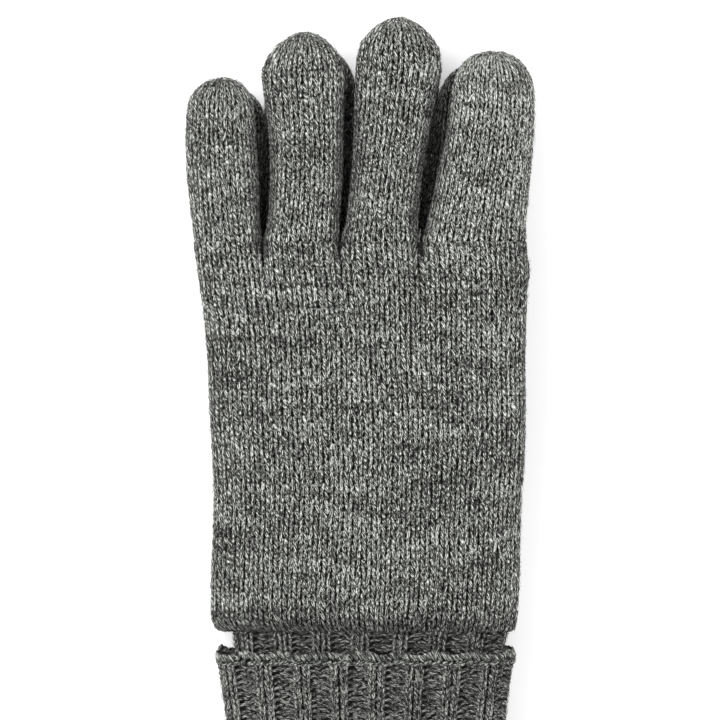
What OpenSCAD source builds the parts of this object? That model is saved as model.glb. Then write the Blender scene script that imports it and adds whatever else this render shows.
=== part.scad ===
// A pair of knitted touchscreen gloves, laid palm to palm with the thumbs folded in between.
// The left glove lies on top with its back up, the right glove lies under it with its back down.
// Origin: middle of the pair's plan, on the surface that it lies on. +Y points to the fingertips,
// +X to the thumb side, +Z up. One glove is drawn with its palm just above z = 0 and its back up,
// and the other one is its mirror image, with its fingers a little closer together.

/* [Overall] */
// Thickness of one glove as it lies
glove_t = 17; // [16:0.5:21]
// Thickness of the knitted wall
wall = 2.4; // [1.8:0.1:2.9]
// Air between a palm and the plane where the gloves meet
palm_gap = 0.2; // [0.15:0.05:0.4]
// Gap that keeps soft pieces of different bodies apart
soft_gap = 0.3; // [0.2:0.05:0.5]

/* [Hand] */
// Distance from the middle of the pair up to the finger crotches
crotch_y = 56; // [46:0.5:68]
// Distance from the middle of the pair down to the end of the plain knit
hand_end_y = 61.5; // [50:0.5:74]
// Centre line of the hand across, at the wrist and the middle
hand_x = [1, 2.4]; // [-10:0.1:10]
// Half width of the hand at the wrist and the middle
hand_hw = [47, 47.9]; // [44:0.1:58]
// Length of the shoulder where the hand draws in to the rib
shoulder_l = 2; // [1:0.25:4]

/* [Fingers] */
// How much thinner than the hand a finger is at its root, its middle and its shoulder
finger_drop = [1.4, 2.4, 3.2]; // [1:0.1:5]
// Centre of the little finger across, at its root, middle and shoulder
little_x = [-40.2, -42.3, -42.6]; // [-60:0.1:-30]
// Width of the little finger at its root, middle and shoulder
little_w = [20.6, 22.6, 21.6]; // [17:0.1:28]
// Width of the ring finger at its root, middle and shoulder
ring_w = [23.2, 23, 26.3]; // [18:0.1:32]
// Width of the middle finger at its root, middle and shoulder
middle_w = [23.4, 23.2, 27]; // [18:0.1:33]
// Width of the index finger at its root, middle and shoulder
index_w = [31.8, 30, 26]; // [20:0.1:39]
// Gap between the little and ring fingers at the root, the middle and the shoulder
little_ring_gap = [0.5, 2.9, 1.35]; // [0.5:0.05:6]
// Gap between the ring and middle fingers at the root, the middle and the shoulder
ring_middle_gap = [0.8, 2.4, 2.65]; // [0.5:0.05:6]
// Gap between the middle and index fingers at the root, the middle and the shoulder
middle_index_gap = [0.8, 2.5, 2.3]; // [0.5:0.05:6]
// Length of the little finger
little_l = 50; // [40:0.1:60]
// Length of the ring finger
ring_l = 64.1; // [52:0.1:77]
// Length of the middle finger
middle_l = 68.7; // [56:0.1:83]
// Length of the index finger
index_l = 58; // [48:0.1:70]
// How much shorter the fingers of the lower glove reach
under_back = 2; // [0:0.1:4]
// Sideways shift of the lower glove's little, ring, middle and index fingers at their shoulders
under_shift = [1.3, 1.6, 0, -2]; // [-2.5:0.1:2.5]
// Extra width of the lower glove's little, ring, middle and index fingers at their shoulders
under_extra_w = [1.4, 0.3, -1.2, 2.4]; // [-2:0.1:2.5]
// Length of the conductive zone on an index finger and a thumb
touch_tip_l = 19; // [16:0.5:23]

/* [Thumb] */
// Centre of the thumb's root across
thumb_x = 28; // [24:0.5:33]
// Centre of the thumb's root along the hand
thumb_y = -6; // [-14:0.5:0]
// Distance from the centre of the thumb's root to its tip
thumb_l = 67; // [56:0.5:80]
// Lean of the folded thumb away from the hand's line, in degrees
thumb_lean = 11; // [8:0.5:14]
// Width of the thumb
thumb_w = 24.5; // [20:0.5:29.5]
// Thickness of the thumb as it lies folded
thumb_t = 7; // [5.8:0.1:8.4]
// How far the thumb swings out to the side, in degrees
thumb_swing = 50; // [20:1:60]
// Wall of the thumb, which is pressed flat
thumb_wall = 2; // [1.6:0.1:2.4]

/* [Rib and cuff] */
// Height of the wrist rib that shows between the hand and the cuff's free edge
rib_show = 7.2; // [5:0.1:12]
// Height of the turned-up cuff
cuff_h = 54.3; // [40:0.1:66]
// Height of the cast-off edge
edge_h = 3.4; // [2:0.1:5]
// Centre line of the wrist rib across, at its top, middle and fold
rib_x = [2.6, 1.7, 1.7]; // [-10:0.1:10]
// Half width of the wrist rib at its top, middle and fold
rib_hw = [42.8, 39, 38.4]; // [32:0.1:43]
// Room between the layers at the cuff's sides, at its edge, middle and fold
cuff_ease = [1.8, 1.1, 0.8]; // [0.8:0.1:4]
// Room between the layers at the cuff's back and front
cuff_room = 0.6; // [0.4:0.1:1]

/* [Hidden] */

// Places of the fingers in the lists of the lower glove
LITTLE = 0;
RING = 1;
MIDDLE = 2;
INDEX = 3;

// Roundness of the flattened sections: 2 is an ellipse, more is squarer
hand_square = 3;
finger_square = 2.4;
rib_square = 3.2;
// Points round a wide tube and round a finger
wide_n = 40;
finger_n = 20;
// Spans between the rings along a hand, a finger, a thumb and a rib
hand_spans = 12;
finger_spans = 5;
thumb_spans = 3;
rib_spans = 4;
// Angles at which a fingertip's dome has its rings, and how full the dome is
dome_angles = [24, 44, 62, 76];
dome_power = 0.9;
// Length of a finger's dome as a share of its width
dome_share = 0.52;

// The back would stand this much above the glove's thickness before it is planed flat
back_crown = 0.4;
// The hand is this much thinner at its wrist end
wrist_drop = 1;
// Room at the sides between the hand's end and the outer fingers' roots
root_ease = 0.3;
// Cut past a face
past = 1;

// Edge roundings of the cuff's fold and of its cast-off edge
fold_h = 1.5 * wall;
fold_round = 1.2;
edge_round = 0.3;

cuff_t = glove_t - 2 * palm_gap;
rib_t = cuff_t - 2 * (wall + cuff_room);
wrist_z = palm_gap + cuff_t / 2;
root_y = crotch_y + soft_gap;
rib_top_y = -(hand_end_y + shoulder_l);
cuff_top_y = rib_top_y - rib_show;
fold_y = cuff_top_y - cuff_h;
finger_t = [for (drop = finger_drop) glove_t - drop];

// Each finger stands beside the one before it
function beside(x, w, gap, next_w) = [for (i = [0:2]) x[i] + w[i] / 2 + gap[i] + next_w[i] / 2];
ring_x = beside(little_x, little_w, little_ring_gap, ring_w);
middle_x = beside(ring_x, ring_w, ring_middle_gap, middle_w);
index_x = beside(middle_x, middle_w, middle_index_gap, index_w);

// The hand's end spans the roots of the four fingers
end_low = little_x[0] - little_w[0] / 2 - root_ease;
end_high = index_x[0] + index_w[0] / 2 + root_ease;
hand_lines = [hand_x[0], hand_x[1], (end_low + end_high) / 2];
hand_halves = [hand_hw[0], hand_hw[1], (end_high - end_low) / 2];
hand_ts = [glove_t - wrist_drop, glove_t, finger_t[0]];

// Hollow that the folded thumb presses into the palm, and how it fades out
press_slack = 0.3;
press_depth = palm_gap + thumb_t + soft_gap + press_slack;
press_margin = 1.6;
press_fade = 10;
press_tip = thumb_l - 11;
press_tip_fade = 17;

// Thumb hole in the palm, above the thumb's root
hole_w = 14;
hole_l = 12;
// Length of the thumb's dome, the rings of its root and the least half size of a ring
thumb_dome = 13;
thumb_root_rings = [-9, -5];
thumb_thin = 0.3;
thumb_split = thumb_l - touch_tip_l;
thumb_z = palm_gap + thumb_t / 2;

function spow(v, p) = sign(v) * pow(abs(v), p);
function smooth(v) = let (c = min(1, max(0, v))) c * c * (3 - 2 * c);
function steps(from, to, count) = [for (i = [0:count]) from + (to - from) * i / count];
function backward(list) = [for (i = [len(list) - 1:-1:0]) list[i]];
// Smooth line through three values, at s = 0, 0.5 and 1
function through(v, s) = v[0] * (1 - s) * (1 - 2 * s) + v[1] * 4 * s * (1 - s) + v[2] * s * (2 * s - 1);

// Directions of the folded thumb and of the thumb swung out
thumb_in = [sin(thumb_lean), cos(thumb_lean)];
thumb_out = [sin(thumb_lean + thumb_swing), cos(thumb_lean + thumb_swing)];

// Distance in plan from a point to the area that the thumb's centre line sweeps
function ray_distance(p, way) = norm(p - max(0, p * way) * way);
function turn(a, b) = a[0] * b[1] - a[1] * b[0];
function in_sweep(p) = turn(thumb_in, p) <= 0 && turn(p, thumb_out) <= 0 && p * (thumb_in + thumb_out) > 0;
function sweep_distance(p) = in_sweep(p) ? 0 : min(ray_distance(p, thumb_in), ray_distance(p, thumb_out));

// Depth of the hollow at a place in plan: full under the thumb, fading out round it
function press(x, y) =
    let (p = [x - thumb_x, y - thumb_y],
         side = (sweep_distance(p) - thumb_w / 2 - press_margin) / press_fade,
         u = min(1, max(0, (norm(p) - press_tip) / press_tip_fade)))
    press_depth * (1 - smooth(side)) * sqrt(1 - u * u);

// A point of a section, moved up where the thumb presses; inset is the wall on inner points
function pressed(p, inset) =
    let (top = glove_t - inset, room = top - inset)
    [p[0], p[1], top - (top - p[2]) * (room - press(p[0], p[1])) / room];
function press_all(ring, inset) = [for (p = ring) pressed(p, inset)];

// One flattened section across the glove at y
function section(y, x, hw, z, hh, square, count) =
    [for (i = [0:count - 1]) let (a = 360 * i / count)
        [x + hw * spow(cos(a), 2 / square), y, z + hh * spow(sin(a), 2 / square)]];

// Triangles between rings that follow each other
function band(a, b, count) =
    [for (i = [0:count - 1]) let (j = (i + 1) % count)
        each [[a * count + i, a * count + j, b * count + i],
              [a * count + j, b * count + j, b * count + i]]];
function bands(total, count) = [for (r = [0:total - 2]) each band(r, r + 1, count)];

// A closed skin round the wall of an open tube: outer rings one way, inner rings back
module open_tube(outer, inner) {
    count = len(outer[0]);
    rings = concat(outer, backward(inner));
    total = len(rings);
    polyhedron([for (r = rings) each r], concat(bands(total, count), band(total - 1, 0, count)), 4);
}

// A tube closed at its far end: both skins run to a point
module closed_tube(outer, inner, outer_pole, inner_pole) {
    count = len(outer[0]);
    rings = concat(backward(inner), outer);
    total = len(rings);
    last = (total - 1) * count;
    outer_i = total * count;
    inner_i = outer_i + 1;
    caps = [for (i = [0:count - 1]) let (j = (i + 1) % count)
        each [[last + i, last + j, outer_i], [j, i, inner_i]]];
    polyhedron(concat([for (r = rings) each r], [outer_pole, inner_pole]),
        concat(bands(total, count), caps), 4);
}

// Finger: [centres, widths, tip] as it lies in the upper glove, or with straight sides in the lower one
function moved(v, change) = [v[0], (v[0] + v[2] + change) / 2, v[2] + change];
function finger(x, w, l, place, lower) =
    lower ? [moved(x, under_shift[place]), moved(w, under_extra_w[place]), root_y + l - under_back]
    : [x, w, root_y + l];
function little(lower) = finger(little_x, little_w, little_l, LITTLE, lower);
function ring(lower) = finger(ring_x, ring_w, ring_l, RING, lower);
function middle(lower) = finger(middle_x, middle_w, middle_l, MIDDLE, lower);
function index(lower) = finger(index_x, index_w, index_l, INDEX, lower);

function dome_y(f) = f[2] - dome_share * f[1][2];
// Share of the way from the root to the dome
function along(f, y) = min(1, (y - root_y) / (dome_y(f) - root_y));

// Ring of a finger at y, shrunk by the dome's factor
function finger_ring(f, y, inset, shrink) =
    let (s = along(f, y), hh = through(finger_t, s) / 2)
    press_all(section(y, through(f[0], s), (through(f[1], s) / 2 - inset) * shrink,
        palm_gap + hh, (hh - inset) * shrink, finger_square, finger_n), inset);
function straight(f, places, inset) = [for (y = places) finger_ring(f, y, inset, 1)];

function domed(f, from, count, inset) =
    let (base = dome_y(f), reach = f[2] - inset - base)
    concat(straight(f, steps(from, base, count), inset),
        [for (a = dome_angles)
            finger_ring(f, base + reach * sin(a), inset, pow(cos(a), dome_power))]);

module finger_cap(f, from, count) {
    z = palm_gap + finger_t[2] / 2;
    closed_tube(domed(f, from, count, 0), domed(f, from, count, wall),
        [f[0][2], f[2], z], [f[0][2], f[2] - wall, z]);
}

module whole_finger(f) finger_cap(f, root_y, finger_spans);
module index_cap(f) finger_cap(f, f[2] - touch_tip_l, 1);
module index_tube(f) {
    places = steps(root_y, f[2] - touch_tip_l, finger_spans);
    open_tube(straight(f, places, 0), straight(f, places, wall));
}

// Thumb: a flat tube whose root is round in plan, so that it turns in its own hollow
function thumb_hw(t) = t < 0 ? sqrt(thumb_w * thumb_w / 4 - t * t)
    : t < thumb_l - thumb_dome ? thumb_w / 2
    : thumb_w / 2 * sqrt(max(0, 1 - pow((t - thumb_l + thumb_dome) / thumb_dome, 2)));
function thumb_hh(t) = thumb_t / 2 * pow(thumb_hw(t) / (thumb_w / 2), 0.8);
function thumb_ring(t, inset) =
    let (out = t < thumb_l - thumb_dome ? t : t + inset)
    section(t, 0, max(thumb_thin, thumb_hw(out) - inset), thumb_z,
        max(thumb_thin, thumb_hh(out) - inset), finger_square, finger_n);
function thumb_dome_places(inset) =
    [for (a = [0, 24, 44, 60]) thumb_l - thumb_dome + (thumb_dome - thumb_thin - inset) * sin(a)];

module lean_thumb() translate([thumb_x, thumb_y, 0]) rotate([0, 0, -thumb_lean]) children();

module thumb_tube() lean_thumb() {
    places = concat(thumb_root_rings, steps(0, thumb_split, thumb_spans));
    open_tube([for (t = places) thumb_ring(t, 0)], [for (t = places) thumb_ring(t, thumb_wall)]);
}

module thumb_cap() lean_thumb() {
    closed_tube([for (t = concat([thumb_split], thumb_dome_places(0))) thumb_ring(t, 0)],
        [for (t = concat([thumb_split], thumb_dome_places(thumb_wall))) thumb_ring(t, thumb_wall)],
        [0, thumb_l, thumb_z], [0, thumb_l - thumb_wall, thumb_z]);
}

// Wrist rib: the inner layer, from the hand down to the cuff's fold
function rib_ring(y, inset) =
    let (s = (rib_top_y - y) / (rib_top_y - fold_y))
    section(y, through(rib_x, s), through(rib_hw, s) - inset, wrist_z, rib_t / 2 - inset,
        rib_square, wide_n);

module wrist_rib() {
    places = steps(fold_y + fold_h + soft_gap, rib_top_y, rib_spans);
    open_tube([for (y = places) rib_ring(y, 0)], [for (y = places) rib_ring(y, wall)]);
}

// Hand: a wide flattened tube, open to the fingers and drawn in to the rib at the wrist
function hand_s(y) = (y + hand_end_y) / (crotch_y + hand_end_y);
function hand_ring(y, inset) =
    let (s = hand_s(y), hh = (through(hand_ts, s) + back_crown * smooth(4 * s) * smooth(4 - 4 * s)) / 2)
    press_all(section(y, through(hand_lines, s), through(hand_halves, s) - inset,
        palm_gap + hh, hh - inset, hand_square, wide_n), inset);

module hand() {
    places = steps(-hand_end_y, crotch_y, hand_spans);
    span = 4 * (crotch_y + hand_end_y);
    difference() {
        open_tube(concat([rib_ring(rib_top_y, 0)], [for (y = places) hand_ring(y, 0)]),
            concat([rib_ring(rib_top_y, wall)],
                [for (y = places) hand_ring(y + wall * (1 - hand_s(y)), wall)]));
        translate([-span / 2, -span / 2, glove_t]) cube(span);
        lean_thumb() translate([-hole_w / 2, -hole_l / 2, -past])
            cube([hole_w, hole_l, press_depth + wall + 2 * past]);
    }
}

// The cuff lies round the wrist rib, with room for it, and flares to its free edge
function cuff_ring(y, inset) =
    let (s = (cuff_top_y - y) / cuff_h,
         r = (rib_top_y - y) / (rib_top_y - fold_y))
    section(y, through(rib_x, r), through(rib_hw, r) + through(cuff_ease, s) + wall - inset,
        wrist_z, cuff_t / 2 - inset, rib_square, wide_n);

// The cuff ends in its rolled fold, which closes the ring between the two layers
module cuff() {
    inner_y = fold_y + fold_h;
    places = steps(inner_y, cuff_top_y - edge_h, rib_spans);
    outer = concat([rib_ring(fold_y, wall), cuff_ring(fold_y, wall), cuff_ring(fold_y + fold_round, wall / 4)],
        [for (y = places) cuff_ring(y, 0)]);
    open_tube(outer, concat([rib_ring(inner_y, wall)], [for (y = places) cuff_ring(y, wall)]));
}

module cuff_edge() {
    low = cuff_top_y - edge_h;
    high = cuff_top_y;
    open_tube([cuff_ring(low, 0), cuff_ring((low + high) / 2, 0), cuff_ring(high, edge_round)],
        [cuff_ring(low, wall), cuff_ring((low + high) / 2, wall), cuff_ring(high, wall)]);
}

module left() translate([0, 0, glove_t]) children();
module right() translate([0, 0, glove_t]) mirror([0, 0, 1]) children();
module plain_knit() color("#696b67") children();
module rib_knit() color("#565754") children();
module cast_off() color("#7a7b78") children();
module touch_knit() color("#6c6e6e") children();

plain_knit() left() hand();  // left_hand
plain_knit() left() whole_finger(little(false));  // left_little_finger
plain_knit() left() whole_finger(ring(false));  // left_ring_finger
plain_knit() left() whole_finger(middle(false));  // left_middle_finger
plain_knit() left() index_tube(index(false));  // left_index_finger
touch_knit() left() index_cap(index(false));  // left_index_touch_tip
plain_knit() left() thumb_tube();  // left_thumb
touch_knit() left() thumb_cap();  // left_thumb_touch_tip
rib_knit() left() wrist_rib();  // left_wrist_rib
rib_knit() left() cuff();  // left_cuff
cast_off() left() cuff_edge();  // left_cuff_edge
plain_knit() right() hand();  // right_hand
plain_knit() right() whole_finger(little(true));  // right_little_finger
plain_knit() right() whole_finger(ring(true));  // right_ring_finger
plain_knit() right() whole_finger(middle(true));  // right_middle_finger
plain_knit() right() index_tube(index(true));  // right_index_finger
touch_knit() right() index_cap(index(true));  // right_index_touch_tip
plain_knit() right() thumb_tube();  // right_thumb
touch_knit() right() thumb_cap();  // right_thumb_touch_tip
rib_knit() right() wrist_rib();  // right_wrist_rib
rib_knit() right() cuff();  // right_cuff
cast_off() right() cuff_edge();  // right_cuff_edge
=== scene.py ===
"""A pair of knitted touchscreen gloves, laid palm to palm with their cuffs turned up.

The left glove lies on top with its back up and the right glove lies under it with its back down.
Each knitted piece is a thin shell of ground cloth with the yarn of every stitch laid over it. A
piece's surface is sampled once as a Fabric, in wales round it and courses along it, and the shell,
the stitches and the loose fibres are all placed on that surface.
"""

import logging
import math
from dataclasses import dataclass, field, replace
from enum import Enum
from typing import ClassVar

import bmesh
import bpy
import numpy as np
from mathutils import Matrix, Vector


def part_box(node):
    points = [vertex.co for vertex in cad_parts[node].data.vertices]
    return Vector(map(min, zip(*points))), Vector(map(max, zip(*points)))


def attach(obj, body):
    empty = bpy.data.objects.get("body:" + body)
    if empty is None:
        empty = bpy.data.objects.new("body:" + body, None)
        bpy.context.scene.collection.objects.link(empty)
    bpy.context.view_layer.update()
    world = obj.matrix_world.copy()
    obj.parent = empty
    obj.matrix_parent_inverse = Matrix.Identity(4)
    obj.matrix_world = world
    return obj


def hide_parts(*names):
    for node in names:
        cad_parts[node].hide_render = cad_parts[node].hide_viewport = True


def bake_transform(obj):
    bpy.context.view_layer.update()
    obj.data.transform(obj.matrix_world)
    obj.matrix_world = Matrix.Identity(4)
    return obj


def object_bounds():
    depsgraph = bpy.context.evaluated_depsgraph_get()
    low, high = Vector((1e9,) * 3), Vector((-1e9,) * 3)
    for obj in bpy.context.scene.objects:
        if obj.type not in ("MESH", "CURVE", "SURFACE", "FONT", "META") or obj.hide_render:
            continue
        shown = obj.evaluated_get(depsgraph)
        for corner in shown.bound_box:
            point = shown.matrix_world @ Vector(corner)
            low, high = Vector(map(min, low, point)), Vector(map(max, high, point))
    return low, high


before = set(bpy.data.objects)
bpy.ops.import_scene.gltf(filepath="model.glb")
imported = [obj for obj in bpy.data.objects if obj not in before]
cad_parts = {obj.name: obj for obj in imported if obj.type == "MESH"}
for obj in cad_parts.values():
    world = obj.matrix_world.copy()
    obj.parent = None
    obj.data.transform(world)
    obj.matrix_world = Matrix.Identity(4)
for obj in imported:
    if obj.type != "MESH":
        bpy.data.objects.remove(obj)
CAD_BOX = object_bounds()

LOG = logging.getLogger("gloves")
MM = 0.001

# Samples round one section before it is shared out evenly, and samples along a fingertip's arc
SECTION_SAMPLES = 720
ARC_SAMPLES = 240

# Wales that one rib and one gutter take up together
REPEAT = 4

Array = np.ndarray


class Side(Enum):
    """The two gloves of the pair."""

    LEFT = "left"
    RIGHT = "right"


class Finger(Enum):
    """The four fingers, from the little finger's side to the thumb's."""

    LITTLE = "little"
    RING = "ring"
    MIDDLE = "middle"
    INDEX = "index"


class Skin(Enum):
    """The four finishes of a glove's pieces."""

    PLAIN = "plain"
    RIB = "rib"
    EDGE = "edge"
    TOUCH = "touch"


class Detail(Enum):
    """Faces of one length of yarn: how many go round it and how many rings lie along it."""

    FINE = (6, 3)
    PLAIN = (4, 3)
    FIBRE = (3, 2)


def in_metres(*values: float) -> tuple[float, ...]:
    """Turns millimetres into metres."""
    return tuple(value * MM for value in values)


def through(values: tuple[float, ...], share: Array) -> Array:
    """Runs a smooth line through three values.

    Args:
        values: The values at the start, the middle and the end.
        share: How far along the line each result lies, from 0 to 1.

    Returns:
        The line's value at each share.
    """
    first, middle, last = values
    start = first * (1 - share) * (1 - 2 * share)
    return start + middle * 4 * share * (1 - share) + last * share * (2 * share - 1)


def smooth(value: Array) -> Array:
    """Eases a value from 0 to 1 and holds it there."""
    held = np.clip(value, 0, 1)
    return held * held * (3 - 2 * held)


def signed_power(value: Array, power: float) -> Array:
    """Raises the size of a value to a power and keeps its sign."""
    return np.sign(value) * np.abs(value) ** power


def share_out(path: Array, run: Array, count: int) -> Array:
    """Places points evenly along a sampled path.

    Args:
        path: The samples, one row each.
        run: The distance travelled at each sample.
        count: How many points to place.

    Returns:
        The points, one row each, the first and the last at the path's ends.
    """
    wanted = np.linspace(0, run[-1], count)
    return np.stack([np.interp(wanted, run, column) for column in path.T], axis=1)


@dataclass(frozen=True)
class Rings:
    """Flattened sections along a tube, each with its own place and size.

    Attributes:
        y: Place of each section along the tube.
        x: Centre of each section across.
        z: Centre of each section in height.
        half_w: Half the width of each section.
        half_t: Half the thickness of each section.
        square: Roundness of a section; 2 is an ellipse and more is squarer.
    """

    y: Array
    x: Array
    z: Array
    half_w: Array
    half_t: Array
    square: float

    def points(self, columns: int) -> Array:
        """Shares each section out into points that are evenly spaced round it.

        Args:
            columns: Points round a section, starting at its low X side and going over its back.

        Returns:
            The points, by section and by column.
        """
        turn = np.linspace(0, math.tau, SECTION_SAMPLES + 1)
        across = signed_power(np.cos(turn), 2 / self.square)
        upward = signed_power(np.sin(turn), 2 / self.square)
        rows = []
        for y, x, z, half_w, half_t in zip(self.y, self.x, self.z, self.half_w, self.half_t):
            outline = np.stack([x - half_w * across, z + half_t * upward], axis=1)
            run = np.concatenate([[0], np.cumsum(np.linalg.norm(np.diff(outline, axis=0), axis=1))])
            spread = share_out(outline, run, columns + 1)[:-1]
            rows.append(np.stack([spread[:, 0], np.full(columns, y), spread[:, 1]], axis=1))
        return np.array(rows)


@dataclass(frozen=True)
class Fabric:
    """A knitted surface, sampled as rings of points that follow each other along it.

    Attributes:
        points: The samples, by row along the fabric and by column round it.
        normals: The outward direction at each sample.
        wales: Columns of stitches round the fabric.
        courses: Rows of stitches along it.
        wale: Nominal width of one stitch.
        course: Nominal height of one stitch.
    """

    points: Array
    normals: Array
    wales: int
    courses: int
    wale: float
    course: float

    @classmethod
    def on(cls, points: Array, wales: int, knit: "Knit") -> "Fabric":
        """Makes a fabric on sampled rings and works out which way is outward.

        Args:
            points: The samples, by row and by column, evenly spaced along the rows.
            wales: Columns of stitches round the fabric.
            knit: The size of its stitches.

        Returns:
            The fabric, with as many courses as its length holds.
        """
        round_it = np.roll(points, -1, axis=1) - np.roll(points, 1, axis=1)
        along_it = np.gradient(points, axis=0)
        normals = np.cross(along_it, round_it)
        size = np.linalg.norm(normals, axis=2, keepdims=True)
        tip = np.array([0.0, 1.0, 0.0])
        normals = np.where(size > size.max() * 1e-4, normals / np.maximum(size, 1e-12), tip)
        middle = len(points) // 3
        spokes = points[middle] - points[middle].mean(axis=0)
        if (spokes * normals[middle]).sum() < 0:
            normals = np.where(size > size.max() * 1e-4, -normals, normals)
        steps = np.linalg.norm(np.diff(points, axis=0), axis=2).mean(axis=1)
        courses = max(2, round(steps.sum() / knit.course))
        return cls(points, normals, wales, courses, knit.wale, knit.course)

    def sample(self, grid: Array, u: Array, v: Array) -> Array:
        """Reads a grid of values between its samples.

        Args:
            grid: The values, by row and by column.
            u: Places round the fabric, in wales.
            v: Places along the fabric, in courses.

        Returns:
            The value at each place.
        """
        rows, columns = grid.shape[:2]
        row = np.clip(v / self.courses, 0, 1) * (rows - 1)
        column = (u / self.wales * columns) % columns
        row_0 = np.minimum(row.astype(int), rows - 2)
        column_0 = column.astype(int) % columns
        column_1 = (column_0 + 1) % columns
        down = (row - row_0)[..., None]
        over = (column - np.floor(column))[..., None]
        low = grid[row_0, column_0] * (1 - over) + grid[row_0, column_1] * over
        high = grid[row_0 + 1, column_0] * (1 - over) + grid[row_0 + 1, column_1] * over
        return low * (1 - down) + high * down

    def place(self, u: Array, v: Array, height: Array) -> Array:
        """Finds points over the fabric.

        Args:
            u: Places round the fabric, in wales.
            v: Places along the fabric, in courses.
            height: Heights over the surface.

        Returns:
            The points.
        """
        normals = self.sample(self.normals, u, v)
        return self.sample(self.points, u, v) + normals * height[..., None]

    def fullness(self, v: Array) -> Array:
        """Compares the distance round the fabric with the widest one.

        Args:
            v: Places along the fabric, in courses.

        Returns:
            The share of the widest distance round it at each place.
        """
        steps = np.linalg.norm(np.roll(self.points, -1, axis=1) - self.points, axis=2).sum(axis=1)
        rows = np.clip(v / self.courses, 0, 1) * (len(steps) - 1)
        return np.interp(rows, np.arange(len(steps)), steps / steps.max())

    def wale_at(self, x: float, v: float) -> float:
        """Finds the wale on the back of the fabric that lies over an x.

        Args:
            x: The place across.
            v: The place along the fabric, in courses.

        Returns:
            The place round the fabric, in wales.
        """
        u = np.linspace(0, self.wales / 2, 400)
        over = self.sample(self.points, u, np.full(len(u), v))[:, 0]
        return float(np.interp(x, over, u))

    def rib_phase(self, x: float) -> float:
        """Finds where the ribs start, so that the middle of one lies over an x.

        Args:
            x: The place across.

        Returns:
            Where the first rib starts, in wales.
        """
        return self.wale_at(x, self.courses) % REPEAT - 1


@dataclass(frozen=True)
class Yarn:
    """Short lengths of yarn over a fabric, each with its own place, lean and size.

    Places are in wales and courses and heights in metres. Every value is an array with one entry
    for each length of yarn.

    Attributes:
        BLUNT: Power that draws the rings of a length of yarn toward its ends.
        STOUT: Power that keeps a length of yarn thick nearly up to its ends.
        TONE_STEP: How far apart two shades lie in the pattern of the fibres.
        u: Centre round the fabric.
        v: Centre along the fabric.
        along: Half of the length as steps round and along the fabric.
        aside: Half of the width as steps round and along the fabric.
        bow: How far the middle bows aside, as steps round and along the fabric.
        rise: Height of the centre over the fabric.
        tilt: How much higher the far end lies than the centre.
        arch: How much higher the middle lies than the ends.
        thick: Half of the thickness.
        tone: How light the yarn is, from 0 to 1.
        shown: How much of the yarn's own colour shows; the rest is painted shade, as in a crevice.
    """

    BLUNT: ClassVar[float] = 0.55
    STOUT: ClassVar[float] = -0.22
    TONE_STEP: ClassVar[float] = 40.0

    u: Array
    v: Array
    along: Array
    aside: Array
    bow: Array
    rise: Array
    tilt: Array
    arch: Array
    thick: Array
    tone: Array
    shown: Array

    def join(self, other: "Yarn") -> "Yarn":
        """Adds the lengths of another set after these."""
        pairs = zip(vars(self).values(), vars(other).values())
        return Yarn(*[np.concatenate(pair) for pair in pairs])

    def only(self, chosen: Array) -> "Yarn":
        """Keeps the lengths that a mask chooses."""
        return Yarn(*[value[chosen] for value in vars(self).values()])

    def surface(self, fabric: Fabric, unit: Array) -> tuple[Array, Array]:
        """Lays every length of yarn on a fabric.

        Args:
            fabric: The fabric to lay them on.
            unit: The points of a unit ball: aside, up and along.

        Returns:
            The points by length of yarn, and each point's place on its yarn: aside, up, and along
            in millimetres.
        """
        aside, up, along = unit.T
        along = signed_power(along, self.BLUNT)
        girth = np.maximum(aside**2 + up**2, 1e-9) ** self.STOUT
        full = np.where(aside**2 + up**2 < 1e-6, 0, girth)
        side = aside * full
        middle = 1 - along**2
        u = self.u[:, None] + np.outer(self.along[:, 0], along) + np.outer(self.aside[:, 0], side)
        v = self.v[:, None] + np.outer(self.along[:, 1], along) + np.outer(self.aside[:, 1], side)
        u += np.outer(self.bow[:, 0], middle)
        v += np.outer(self.bow[:, 1], middle)
        height = self.rise[:, None] + np.outer(self.tilt, along) + np.outer(self.arch, middle)
        height += np.outer(self.thick, up * full)
        half = np.hypot(self.along[:, 0] * fabric.wale, self.along[:, 1] * fabric.course) / MM
        place = np.empty((len(self.u), len(unit), 3))
        place[:, :, 0] = aside
        place[:, :, 1] = up
        place[:, :, 2] = np.outer(half, along) + self.tone[:, None] * self.TONE_STEP
        return fabric.place(u, v, height), place


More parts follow.
